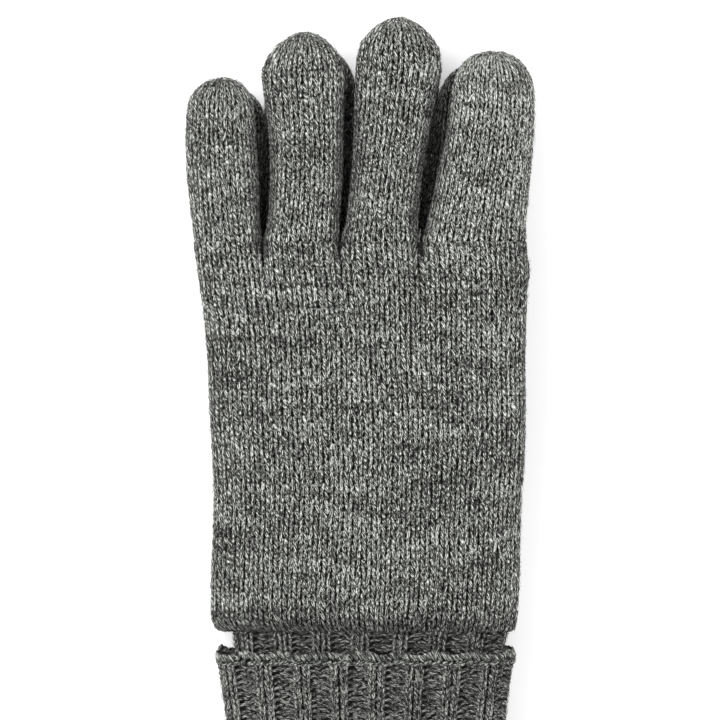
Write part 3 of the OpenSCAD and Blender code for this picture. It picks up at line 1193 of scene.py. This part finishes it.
@dataclass
class Glove:
    """One knitted glove, drawn with its palm just above zero and its back up.

    Sizes are in metres. Where a size has three values they are taken at the start, the middle and
    the end of the part that they belong to.

    Attributes:
        side: Which glove of the pair it is.
        meeting: Height of the plane where the two gloves meet.
        thickness: Thickness of the glove as it lies.
        body: How the hand, the fingers and the thumb are knitted.
        ribbing: How the wrist rib and the cuff are knitted.
        palm_gap: Room kept between the palm and the meeting plane.
        hem: Length over which the hand draws in to the wrist rib.
        hem_gap: Room between the hand's end and the wrist rib.
        crease: Length over which the finger roots part.
        finger_waist: How much slimmer an upper finger is at each side, past its root.
        finger_plump: How much plumper a lower finger is at each side.
        root_overlap: How far a finger starts inside the hand.
        crown: How much the back of the hand rises in its middle.
        cuff_ease: How much wider the cuff is at each side than the rib and the cuff's wall.
        cuff_open: How far the cuff stands off at each side at its free edge.
        cuff_shift: How far the cuff's free edge lies toward the little finger.
        cuff_rib_x: Where the middle of one of the cuff's ribs lies across.
        cuff_flare: How far the cuff's free edge waves in and out.
        fold_roll: Length of the cuff's rounded fold, and of its turn into the mouth.
        fold_in: How far the fold draws in at the side and in height.
        touch_l: Length of a touch tip.
    """

    side: Side
    meeting: float
    thickness: float
    body: Knit = field(default_factory=lambda: Knit(wale=3.26 * MM, course=2.1 * MM))
    ribbing: Knit = field(
        default_factory=lambda: Knit(wale=3.0 * MM, course=1.76 * MM, lean=0.14, reach=0.75)
    )
    palm_gap: float = 0.2 * MM
    crotch_y: float = 56 * MM
    hand_end_y: float = -61.5 * MM
    rib_top_y: float = -63.5 * MM
    cuff_top_y: float = -70.7 * MM
    edge_h: float = 3.4 * MM
    hand_x: tuple[float, float, float] = (1.0 * MM, 2.4 * MM, 0.05 * MM)
    hand_half_w: tuple[float, float, float] = (47 * MM, 47.9 * MM, 50.85 * MM)
    finger_t: tuple[float, float, float] = (15.6 * MM, 14.6 * MM, 13.8 * MM)
    hem: float = 6.5 * MM
    hem_gap: float = 1.0 * MM
    crease: float = 13 * MM
    finger_waist: float = 0.4 * MM
    finger_plump: float = 0.55 * MM
    root_overlap: float = 2.0 * MM
    crown: float = 0.4 * MM
    rib_x: tuple[float, float, float] = (2.6 * MM, 1.7 * MM, 1.7 * MM)
    rib_half_w: tuple[float, float, float] = (42.8 * MM, 39 * MM, 38.4 * MM)
    cuff_ease: tuple[float, float, float] = (1.8 * MM, 1.1 * MM, 0.8 * MM)
    cuff_wall: float = 2.4 * MM
    cuff_room: float = 0.6 * MM
    cuff_open: float = 0.5 * MM
    cuff_shift: float = 0.6 * MM
    cuff_rib_x: float = 5.2 * MM
    cuff_flare: float = 0.35 * MM
    cuff_gutter: float = 1.7 * MM
    rib_gutter: float = 1.2 * MM
    fold_roll: float = 3.2 * MM
    fold_in: tuple[float, float] = (3.4 * MM, 3.0 * MM)
    hand_wales: int = 68
    rib_wales: int = 60
    thumb_wales: int = 18
    thumb_x: float = 28 * MM
    thumb_y: float = -6 * MM
    thumb_l: float = 67 * MM
    thumb_w: float = 24.5 * MM
    thumb_t: float = 7 * MM
    thumb_dome: float = 13 * MM
    thumb_lean: float = math.radians(13)
    thumb_swing: float = math.radians(50)
    touch_l: float = 19 * MM

    def fingers(self) -> dict[Finger, FingerShape]:
        """Gives the four fingers as they lie in this glove.

        Returns:
            The shape of each finger.
        """
        shapes = {}
        for finger, shape in UPPER_FINGERS.items():
            if self.side is Side.RIGHT:
                shape = shape.straightened(*LOWER_CHANGE[finger])
            node = "index_touch_tip" if finger is Finger.INDEX else f"{finger.value}_finger"
            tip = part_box(f"{self.side.value}_{node}")[1].y
            shapes[finger] = replace(shape, tip=tip)
        return shapes

    def press(self, points: Array) -> Array:
        """Sinks the palm where the folded thumb lies in it.

        Args:
            points: Points of the glove.

        Returns:
            The points, moved up where the thumb presses.
        """
        flat = points[..., :2] - np.array([self.thumb_x, self.thumb_y])
        ways = [
            np.array([math.sin(turn), math.cos(turn)])
            for turn in (self.thumb_lean, self.thumb_lean + self.thumb_swing)
        ]
        gaps = [
            np.linalg.norm(flat - np.maximum(flat @ way, 0)[..., None] * way, axis=-1)
            for way in ways
        ]
        crosses = [way[0] * flat[..., 1] - way[1] * flat[..., 0] for way in ways]
        swept = (crosses[0] <= 0) & (crosses[1] >= 0) & (flat @ (ways[0] + ways[1]) > 0)
        gap = np.where(swept, 0, np.minimum(gaps[0], gaps[1]))
        room, slope, end_start, end_l = 1.6 * MM, 10 * MM, 11 * MM, 17 * MM
        aside = smooth((gap - self.thumb_w / 2 - room) / slope)
        past = np.linalg.norm(flat, axis=-1) - self.thumb_l + end_start
        beyond = np.clip(past / end_l, 0, 1)
        deepest = self.palm_gap + self.thumb_t + 0.6 * MM
        depth = deepest * (1 - aside) * np.sqrt(1 - beyond**2)
        moved = points.copy()
        top = self.thickness
        moved[..., 2] = top - (top - points[..., 2]) * (top - depth) / top
        return moved

    def hand_fabric(self) -> Fabric:
        """Samples the hand, from the hem over the wrist rib up to the four finger roots.

        Returns:
            The hand's fabric.
        """
        hem = self.hem
        start = self.rib_top_y - 0.3 * MM
        y = np.linspace(start, self.crotch_y, 240)
        share = np.clip((y - self.hand_end_y) / (self.crotch_y - self.hand_end_y), 0, 1)
        levels = (self.thickness - 1 * MM, self.thickness, self.finger_t[0])
        crowned = self.crown * smooth(4 * share) * smooth(4 - 4 * share)
        half_t = (through(levels, share) + crowned) / 2
        half_w = through(self.hand_half_w, share)
        x = through(self.hand_x, share)
        z = self.palm_gap + half_t
        drawn = 1 - np.sqrt(1 - np.clip((start + hem - y) / hem, 0, 1) ** 2)
        rib_half_t = (self.thickness - 2 * self.palm_gap) / 2 - self.cuff_wall - self.cuff_room
        half_w = half_w + (self.rib_half_w[0] + self.hem_gap - half_w) * drawn
        half_t = half_t + (rib_half_t + self.hem_gap - half_t) * drawn
        x = x + (self.rib_x[0] - x) * drawn
        z = z + (self.thickness / 2 - z) * drawn
        points = Rings(y, x, z, half_w, half_t, 3.0).points(self.hand_wales * 4)
        points = self.press(self.settle(self.part_fingers(points, z, half_t)))
        return Fabric.on(points, self.hand_wales, self.body)

    def lobes(self, x: Array) -> Array:
        """Gives the height of the four finger roots across the hand.

        Args:
            x: Places across.

        Returns:
            The height at each place, as a share of the highest.
        """
        highest = np.zeros(x.shape)
        for shape in self.fingers().values():
            off = np.clip(np.abs(x - shape.x[0]) / (shape.w[0] / 2), 0, 1)
            highest = np.maximum(highest, (1 - off**2.4) ** (1 / 2.4))
        return highest

    def part_fingers(self, points: Array, z: Array, half_t: Array) -> Array:
        """Shapes the hand's end into the four finger roots, with a crease between them.

        Args:
            points: Points of the hand, by row and column.
            z: Height of each row's middle.
            half_t: Half the thickness of each row.

        Returns:
            The points, with the creases.
        """
        lobes = self.lobes(points[..., 0])
        parted = smooth((points[..., 1] - self.crotch_y + self.crease) / self.crease) ** 1.5
        middle = z[:, None]
        off_middle = np.abs(points[..., 2] - middle)
        wanted = off_middle + (half_t[:, None] * lobes - off_middle) * parted
        shaped = points.copy()
        shaped[..., 2] = middle + np.sign(points[..., 2] - middle) * wanted
        return shaped

    def settle(self, points: Array) -> Array:
        """Lets the cloth lie a little unevenly, as soft knitting does.

        Args:
            points: Points of the glove.

        Returns:
            The points, with shallow dips in the back.
        """
        dip, wave, lift, wander = in_metres(0.8, 0.17, 0.3, 0.22)
        x, y = points[..., 0] / MM, points[..., 1] / MM
        turn = 0.0 if self.side is Side.LEFT else 1.9
        waves = np.sin(x / 9.1 + 0.6 * np.sin(y / 17 + turn) + turn) * np.sin(y / 13.5 + turn)
        waves += 0.6 * np.sin(x / 5.2 - y / 21 + 2 * turn) + 0.5 * np.sin(y / 6.3 + x / 30)
        height = points[..., 2] / self.thickness * 2
        settled = points.copy()
        settled[..., 2] -= (dip + wave * waves) * smooth(height - 0.9)
        settled[..., 2] += lift * smooth(0.7 - height)
        settled[..., 0] += wander * np.sin(y / 7.7 + np.sign(x) * 2 + turn)
        return settled

    def finger_fabric(self, shape: FingerShape, start: float) -> Fabric:
        """Samples one finger, from inside the hand to its closed tip.

        Args:
            shape: How the finger lies.
            start: Where the fabric starts along the hand.

        Returns:
            The finger's fabric.
        """
        root = self.crotch_y
        dome_y = shape.tip - 0.52 * shape.w[2]
        straight = np.linspace(start, dome_y, ARC_SAMPLES)
        turn = np.linspace(0, math.pi / 2, ARC_SAMPLES)[1:]
        y = np.concatenate([straight, dome_y + (shape.tip - dome_y) * np.sin(turn)])
        shrink = np.concatenate([np.ones(ARC_SAMPLES), np.maximum(np.cos(turn), 0)])
        share = np.clip((y - root) / (dome_y - root), 0, 1)
        slim = self.finger_waist if self.side is Side.LEFT else -self.finger_plump
        waist = slim * smooth((y - root) / (7 * MM))
        half_w = (through(shape.w, share) / 2 - waist) * shrink**shape.point
        half_t = through(self.finger_t, share) / 2
        z = self.palm_gap + half_t
        x = through(shape.x, share) + shape.tip_lean * (1 - shrink)
        path = np.stack([y, x, z, half_w, half_t * shrink**0.9], axis=1)
        run = np.concatenate([[0], np.cumsum(np.hypot(np.diff(y), 0.7 * np.diff(half_w)))])
        y, x, z, half_w, half_t = share_out(path, run, 120).T
        points = Rings(y, x, z, half_w, half_t, 2.4).points(shape.wales * 4)
        return Fabric.on(self.press(self.settle(points)), shape.wales, self.body)

    def thumb_fabric(self) -> Fabric:
        """Samples the thumb, folded into the palm, from its sewn root to its closed tip.

        Returns:
            The thumb's fabric.
        """
        turn = np.linspace(-math.pi / 2, 0, ARC_SAMPLES)
        dome = self.thumb_dome
        root = np.sin(turn) * self.thumb_w / 2
        straight = np.linspace(0, self.thumb_l - dome, ARC_SAMPLES)[1:]
        tip = self.thumb_l - dome + np.sin(turn + math.pi / 2)[1:] * dome
        t = np.concatenate([root, straight, tip])
        closing = np.cos(turn + math.pi / 2)[1:]
        shrink = np.concatenate([np.cos(turn), np.ones(len(straight)), closing])
        half_w = self.thumb_w / 2 * np.maximum(shrink, 0)
        half_t = self.thumb_t / 2 * np.maximum(shrink, 0) ** 0.8
        run = np.concatenate([[0], np.cumsum(np.hypot(np.diff(t), 0.7 * np.diff(half_w)))])
        t, half_w, half_t = share_out(np.stack([t, half_w, half_t], axis=1), run, 140).T
        z = np.full(len(t), self.palm_gap + self.thumb_t / 2)
        middle = np.zeros(len(t))
        points = Rings(t, middle, z, half_w, half_t, 2.4).points(self.thumb_wales * 4)
        cos, sin = math.cos(self.thumb_lean), math.sin(self.thumb_lean)
        leant = points.copy()
        leant[..., 0] = self.thumb_x + points[..., 0] * cos + points[..., 1] * sin
        leant[..., 1] = self.thumb_y - points[..., 0] * sin + points[..., 1] * cos
        return Fabric.on(leant, self.thumb_wales, self.body)

    def corrugate(
        self, fabric: Fabric, depth: Array | float, phase: float, flare: float
    ) -> Fabric:
        """Sinks the gutters of a ribbed fabric.

        Args:
            fabric: The smooth fabric.
            depth: How deep the gutters lie.
            phase: Where the first rib starts, in wales.
            flare: How far the fabric waves in and out near its last course.

        Returns:
            The ribbed fabric.
        """
        steep, rib_share, flare_start = 2.4, 1.1, 0.6
        rows, columns = fabric.points.shape[:2]
        u = np.arange(columns) / columns * fabric.wales
        v = np.linspace(0, 1, rows)[:, None]
        wave = np.cos((u - phase - 1) / REPEAT * math.tau)
        sunk = depth * (0.5 - 0.5 * np.clip(steep * wave + rib_share, -1, 1))
        turn = u / fabric.wales * math.tau
        slow = np.sin(turn * 5 + 1) + 0.7 * np.sin(turn * 9)
        out = flare * (slow - 1) * smooth((v - flare_start) / (1 - flare_start)) - sunk
        points = fabric.points + fabric.normals * out[..., None]
        return Fabric.on(points, fabric.wales, self.ribbing)

    def fold_y(self) -> float:
        """Gives the place of the cuff's fold along the hand."""
        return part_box(f"{self.side.value}_cuff")[0].y

    def rib_rings(self, y: Array, ease: Array | float, half_t: Array | float) -> Rings:
        """Gives the flattened sections of the wrist rib or of what lies round it.

        Args:
            y: Places along the hand.
            ease: How much wider than the wrist rib a section is at each side.
            half_t: Half the thickness of each section.

        Returns:
            The sections.
        """
        share = (self.rib_top_y - y) / (self.rib_top_y - self.fold_y())
        half_w = through(self.rib_half_w, share) + ease
        x = through(self.rib_x, share)
        z = np.full(len(y), self.thickness / 2)
        return Rings(y, x, z, half_w, np.broadcast_to(half_t, y.shape), 3.2)

    def rib_fabric(self) -> Fabric:
        """Samples the wrist rib, from just above the cuff's fold up into the hand.

        Returns:
            The wrist rib's fabric.
        """
        y = np.linspace(self.fold_y() + 4 * MM, self.rib_top_y + 1.2 * MM, 160)
        half_t = (self.thickness - 2 * self.palm_gap) / 2 - self.cuff_wall - self.cuff_room
        points = self.rib_rings(y, 0.0, half_t).points(self.rib_wales * 6)
        smooth_rib = Fabric.on(points, self.rib_wales, self.ribbing)
        return self.corrugate(smooth_rib, self.rib_gutter, smooth_rib.rib_phase(0.0), 0.0)

    def cuff_path(self) -> tuple[Array, Array]:
        """Follows the cuff from inside its mouth, round its fold and up to its free edge.

        Returns:
            The places along the hand, and how far each is drawn in: 0 on the straight part, 1 at
            the fold and more inside the mouth.
        """
        turn = np.linspace(-0.45 * math.pi, math.pi / 2, 32)[:-1]
        straight_y = self.fold_y() + self.fold_roll
        rolled = straight_y - self.fold_roll * np.cos(turn)
        straight = np.linspace(straight_y, self.cuff_top_y - self.edge_h * 0.6, 160)
        drawn = np.concatenate([1 - np.sin(turn), np.zeros(len(straight))])
        return np.concatenate([rolled, straight]), drawn

    def cuff_fabric(self) -> Fabric:
        """Samples the turned-up cuff, from inside its mouth up to the cast-off edge.

        Returns:
            The cuff's fabric.
        """
        y, drawn = self.cuff_path()
        share = np.clip((self.cuff_top_y - y) / (self.cuff_top_y - y.min()), 0, 1)
        ease = through(self.cuff_ease, share) + self.cuff_wall - drawn * self.fold_in[0]
        half_t = (self.thickness - 2 * self.palm_gap) / 2 - drawn * self.fold_in[1]
        free = smooth(1 - share * 1.6)
        rings = self.rib_rings(y, ease + self.cuff_open * free, half_t)
        rings = replace(rings, x=rings.x - self.cuff_shift * free)
        smooth_cuff = Fabric.on(rings.points(self.hand_wales * 6), self.hand_wales, self.ribbing)
        depth = self.cuff_gutter * (1 - 0.8 * smooth(drawn - 1))
        phase = smooth_cuff.rib_phase(self.cuff_rib_x)
        return self.corrugate(smooth_cuff, depth[:, None], phase, self.cuff_flare)

    def edge_fabric(self, cuff: Fabric) -> Fabric:
        """Samples the cast-off edge, a soft bead along the cuff's last course.

        Args:
            cuff: The cuff's fabric.

        Returns:
            The edge's fabric.
        """
        columns = self.hand_wales * 6
        bulge, sunk, start = in_metres(0.85, 0.2, 1.1)
        high, slow, small = in_metres(0.5, 0.35, 0.25)
        u = np.arange(columns) / columns * cuff.wales
        last = cuff.sample(cuff.points, u, np.full(columns, float(cuff.courses)))
        out = cuff.sample(cuff.normals, u, np.full(columns, cuff.courses - 2.0))
        out[:, 1] = 0
        out /= np.linalg.norm(out, axis=1, keepdims=True)
        wave = high * np.sin(u / REPEAT * math.tau + 0.8) + slow * np.sin(u / 11)
        wave += small * np.sin(u * 1.9)
        rows = []
        for share in np.linspace(0, 1, 14):
            turn = -0.5 + share * (0.5 + math.pi * 0.86)
            aside = bulge * math.sin(turn) - sunk
            raised = (1 - math.cos(turn)) * 0.5 * self.edge_h - start * (1 - share) ** 2
            rows.append(last + out * aside + np.outer(raised + wave * share, [0, 1, 0]))
        return Fabric.on(np.array(rows), cuff.wales, self.ribbing)


class GloveMaker:
    """Builds every piece of one glove and joins each piece but the fingers and the thumb to its
    body.

    Attributes:
        FINGER_BEND: Length over which a finger bends out of the hand.
        BEND_START: How far below the crotch a finger starts to bend.
        THUMB_BEND: How far before and after its root the thumb bends.
        HEM_SHADE: How much painted shade darkens the stitches that turn under at the hem.
        CREASE_SHADE: How much painted shade darkens them in the creases between the finger roots.
        SIDE_SHADE: How much painted shade darkens them where two fingers face each other.
    """

    FINGER_BEND = 12 * MM
    BEND_START = 1 * MM
    THUMB_BEND = (12 * MM, 4 * MM)
    HEM_SHADE = 0.6
    CREASE_SHADE = 0.6
    SIDE_SHADE = 0.5

    def __init__(
        self,
        glove: Glove,
        finishes: dict[Skin, Finish],
        materials: dict[Skin, bpy.types.Material],
    ) -> None:
        """Starts a glove.

        Args:
            glove: The glove's sizes.
            finishes: The four finishes.
            materials: Their materials.
        """
        self.glove = glove
        self.finishes = finishes
        self.materials = materials
        self.hand = glove.hand_fabric()

    def name(self, part: str) -> str:
        """Gives the full name of one of this glove's bodies or nodes."""
        return f"{self.glove.side.value}_{part}"

    def piece(self, name: str, fabric: Fabric, knit: Knit) -> Piece:
        """Starts one piece of this glove."""
        return Piece(name, self.glove.side, fabric, knit, self.glove.meeting)

    def done(self, piece: Piece, skin: Skin) -> bpy.types.Object:
        """Finishes one piece with one of the finishes."""
        return piece.finish(self.materials[skin], self.finishes[skin].slot)

    def both_faces(self, piece: Piece, yarn: Yarn) -> Piece:
        """Adds yarn with more faces on the back of the glove than on its palm.

        Args:
            piece: The piece.
            yarn: The yarn all round it.

        Returns:
            The piece.
        """
        half = piece.fabric.wales / 2
        turned = yarn.u % piece.fabric.wales
        back = (turned < half + 1) | (turned > piece.fabric.wales - 1)
        piece.add_yarn(yarn.only(back), Detail.FINE)
        return piece.add_yarn(yarn.only(~back), Detail.PLAIN)

    def build_hand(self) -> None:
        """Builds the hand's back and its palm, which are knitted in one."""
        glove = self.glove
        back = self.piece("hand_back_knit", self.hand, glove.body)
        yarn = plain_courses(self.hand, glove.body, back.chance, 0, self.hand.courses, 0.0)
        # Painted shade under the hem and in the creases between the finger roots.
        hem = 1 - self.HEM_SHADE * smooth((4.5 - yarn.v) / 4)
        place = self.hand.sample(self.hand.points, yarn.u, yarn.v)
        near_l = 9 * MM
        near = smooth((place[:, 1] - glove.crotch_y + near_l) / near_l)
        between = smooth(1.5 * (1 - glove.lobes(place[:, 0])) - 0.1)
        crease = 1 - self.CREASE_SHADE * near * between
        yarn = replace(yarn, shown=yarn.shown * hem * crease)
        turned = yarn.u % self.hand.wales
        on_back = turned < self.hand.wales / 2
        back.add_yarn(yarn.only(on_back), Detail.FINE)
        palm = self.piece("hand_palm_knit", self.hand, glove.body)
        palm.add_shell(closed=False).add_yarn(yarn.only(~on_back), Detail.PLAIN).add_fibres()
        for piece in (back, palm):
            obj = self.done(piece, Skin.PLAIN)
            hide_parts(self.name("hand"))
            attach(obj, self.name("glove"))

    def build_fingers(self) -> None:
        """Builds the four fingers, and the index finger's touch tip."""
        glove = self.glove
        for finger, shape in glove.fingers().items():
            fabric = glove.finger_fabric(shape, glove.crotch_y - glove.root_overlap)
            first = glove.root_overlap / glove.body.course
            over = self.hand.wale_at(shape.x[0], self.hand.courses)
            phase = (over - fabric.wales / 4) % 1
            last = float(fabric.courses)
            tip_courses = round(glove.touch_l / glove.body.course)
            split = last - tip_courses if finger is Finger.INDEX else last
            name = f"{finger.value}_finger"
            piece = self.piece(name + "_knit", fabric, glove.body)
            yarn = plain_courses(fabric, glove.body, piece.chance, first, last, phase)
            yarn = self.shade_sides(yarn, fabric, shape)
            lower = yarn.v < split
            piece.add_shell(closed=True)
            self.both_faces(piece, yarn.only(lower)).add_fibres()
            obj = self.done(piece, Skin.PLAIN)
            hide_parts(self.name(name))
            self.bend(obj, finger.value)
            if finger is Finger.INDEX:
                self.build_touch_tip("index_touch_tip", fabric, yarn.only(~lower), finger.value)

    def shade_sides(self, yarn: Yarn, fabric: Fabric, shape: FingerShape) -> Yarn:
        """Darkens the stitches that face the next finger, where little light comes in.

        Args:
            yarn: The finger's stitches.
            fabric: The finger's fabric.
            shape: How the finger lies.

        Returns:
            The stitches, lighter by the finger's own amount, with painted shade on the sides that
            face the next finger.
        """
        facing = np.abs(fabric.sample(fabric.normals, yarn.u, yarn.v)[:, 0])
        x, y, _ = fabric.sample(fabric.points, yarn.u, yarn.v).T
        outer_side, tip_l = 6 * MM, 12 * MM
        inner = np.abs(x) < self.glove.hand_half_w[2] - outer_side
        below_tip = smooth((shape.tip - tip_l - y) / tip_l)
        deep = smooth((facing - 0.45) / 0.4) * below_tip * inner
        # Painted shade where the finger faces the next one.
        shown = yarn.shown * (1 - self.SIDE_SHADE * deep)
        return replace(yarn, tone=yarn.tone + shape.pale, shown=shown)

    def bend(self, obj: bpy.types.Object, body: str) -> None:
        """Bakes a finger's place into its mesh.

        Args:
            obj: The finger.
            body: The body at its far end, without the side.
        """
        self.name("glove")
        self.name(body)
        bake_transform(obj)

    def build_touch_tip(self, name: str, fabric: Fabric, yarn: Yarn, body: str) -> None:
        """Builds the conductive tip of a finger or the thumb.

        Args:
            name: Name of the tip.
            fabric: The fabric of the whole finger.
            yarn: The stitches of the tip.
            body: The body that it rides on, without the side.
        """
        piece = self.piece(name + "_knit", fabric, self.glove.body)
        self.both_faces(piece, yarn)
        obj = self.done(piece, Skin.TOUCH)
        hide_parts(self.name(name))
        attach(obj, self.name(body))

    def build_thumb(self) -> None:
        """Builds the thumb, sewn into the palm at its round root."""
        glove = self.glove
        fabric = glove.thumb_fabric()
        piece = self.piece("thumb_knit", fabric, glove.body)
        last = float(fabric.courses)
        split = last - round(glove.touch_l / glove.body.course)
        yarn = plain_courses(fabric, glove.body, piece.chance, 1.0, last, 0.0)
        lower = yarn.v < split
        piece.add_shell(closed=True).add_yarn(yarn.only(lower), Detail.PLAIN).add_fibres()
        obj = self.done(piece, Skin.PLAIN)
        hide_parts(self.name("thumb"))
        self.name("glove")
        self.name("thumb_part")
        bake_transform(obj)
        self.build_touch_tip("thumb_touch_tip", fabric, yarn.only(~lower), "thumb_part")

    def build_wrist(self) -> None:
        """Builds the wrist rib, the turned-up cuff over it and the cuff's cast-off edge."""
        glove = self.glove
        rib = glove.rib_fabric()
        piece = self.piece("wrist_rib_knit", rib, glove.ribbing)
        piece.add_shell(closed=False)
        yarn = rib_courses(rib, glove.ribbing, piece.chance, True, rib.rib_phase(0.0))
        piece.add_yarn(yarn, Detail.PLAIN).add_fibres()
        obj = self.done(piece, Skin.RIB)
        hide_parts(self.name("wrist_rib"))
        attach(obj, self.name("glove"))
        cuff = glove.cuff_fabric()
        phase = cuff.rib_phase(glove.cuff_rib_x)
        piece = self.piece("cuff_knit", cuff, glove.ribbing)
        piece.add_shell(closed=False)
        yarn = rib_courses(cuff, glove.ribbing, piece.chance, False, phase)
        self.both_faces(piece, yarn).add_fibres()
        obj = self.done(piece, Skin.RIB)
        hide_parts(self.name("cuff"))
        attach(obj, self.name("cuff_part"))
        edge = glove.edge_fabric(cuff)
        piece = self.piece("cuff_edge_knit", edge, glove.ribbing)
        piece.add_shell(closed=False)
        piece.add_yarn(edge_chain(edge, glove.ribbing, piece.chance), Detail.FINE).add_fibres()
        obj = self.done(piece, Skin.EDGE)
        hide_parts(self.name("cuff_edge"))
        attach(obj, self.name("cuff_part"))

    def build(self) -> None:
        """Builds the whole glove."""
        self.build_hand()
        self.build_fingers()
        self.build_thumb()
        self.build_wrist()


@dataclass(frozen=True)
class Lamp:
    """One large soft lamp.

    Attributes:
        name: Its name.
        place: Where it hangs.
        power: Its power, in watts.
        size: Its width.
    """

    name: str
    place: tuple[float, float, float]
    power: float
    size: float


@dataclass
class Studio:
    """The pale floor, the soft light and the camera straight above the pair.

    Attributes:
        floor: Colour of the floor.
        daylight: Strength of the even light from all round.
        lens: Focal length of the camera, in millimetres.
        field: Width of what the camera sees half way up the upper glove.
        aim: The point over which the camera stands.
        glow: Light that the floor gives off, so that it stays pale close to the pair.
        level: Height at which the field is measured, as a share of the pair's thickness.
        lamps: The two lamps.
    """

    floor: tuple[float, float, float] = (0.86, 0.86, 0.86)
    glow: float = 0.28
    daylight: float = 1.02
    lens: float = 200.0
    field: float = 220.8 * MM
    aim: tuple[float, float] = (0.0, 19.8 * MM)
    level: float = 0.75
    lamps: tuple[Lamp, ...] = (
        Lamp("key", (-0.7, 0.45, 1.0), 10.0, 0.9),
        Lamp("fill", (0.8, -0.3, 1.0), 3.5, 0.9),
    )

    def build_floor(self) -> None:
        """Lays a wide pale sheet under the pair."""
        plate = bmesh.new()
        bmesh.ops.create_grid(plate, x_segments=8, y_segments=8, size=4.0)
        mesh = bpy.data.meshes.new("floor")
        plate.to_mesh(mesh)
        plate.free()
        obj = bpy.data.objects.new("floor", mesh)
        bpy.context.scene.collection.objects.link(obj)
        material = bpy.data.materials.new("studio_floor")
        material.use_nodes = True
        surface = material.node_tree.nodes["Principled BSDF"]
        surface.inputs["Base Color"].default_value = (*self.floor, 1)
        surface.inputs["Roughness"].default_value = 0.9
        surface.inputs["Specular IOR Level"].default_value = 0.1
        surface.inputs["Emission Color"].default_value = (1, 1, 1, 1)
        surface.inputs["Emission Strength"].default_value = self.glow
        mesh.materials.append(material)

    def build_light(self) -> None:
        """Sets an even bright surround and two large soft lamps."""
        world = bpy.data.worlds.new("studio")
        world.use_nodes = True
        background = world.node_tree.nodes["Background"]
        background.inputs["Color"].default_value = (1, 1, 1, 1)
        background.inputs["Strength"].default_value = self.daylight
        bpy.context.scene.world = world
        for lamp in self.lamps:
            light = bpy.data.lights.new(lamp.name, "AREA")
            light.energy = lamp.power
            light.size = lamp.size
            obj = bpy.data.objects.new(lamp.name, light)
            obj.location = lamp.place
            aim = Vector((*self.aim, 0)) - Vector(lamp.place)
            obj.rotation_euler = aim.to_track_quat("-Z", "Y").to_euler()
            bpy.context.scene.collection.objects.link(obj)

    def build_camera(self) -> None:
        """Hangs the camera straight above the pair, with the fingertips at the top."""
        camera = bpy.data.cameras.new("camera")
        camera.lens = self.lens
        camera.sensor_width = 36.0
        obj = bpy.data.objects.new("camera", camera)
        height = self.field * self.lens / camera.sensor_width
        obj.location = (*self.aim, CAD_BOX[1].z * self.level + height)
        bpy.context.scene.collection.objects.link(obj)
        bpy.context.scene.camera = obj
        bpy.context.scene.view_settings.view_transform = "Standard"

    def build(self) -> None:
        """Builds the floor, the light and the camera."""
        self.build_camera()
        self.build_floor()
        self.build_light()


def main() -> None:
    """Builds the studio and both gloves."""
    logging.basicConfig(level=logging.INFO, format="%(message)s")
    Studio().build()
    finishes = {
        Skin.PLAIN: Finish("plain_marl_knit", "plain_knit"),
        Skin.RIB: Finish(
            "rib_marl_knit", "rib_knit", grey=(0.071, 0.073, 0.067), light=(0.58, 0.59, 0.56)
        ),
        Skin.EDGE: Finish(
            "cast_off_marl", "cast_off_edge", grey=(0.088, 0.091, 0.084), light=(0.58, 0.60, 0.56)
        ),
        Skin.TOUCH: Finish("touch_marl_knit", "touch_knit", glint=0.35),
    }
    materials = {skin: finish.material() for skin, finish in finishes.items()}
    meeting = CAD_BOX[1].z / 2
    for side in Side:
        glove = Glove(side, meeting, thickness=meeting)
        GloveMaker(glove, finishes, materials).build()
        LOG.info("%s glove built", side.value)


if __name__ == "__main__":
    main()
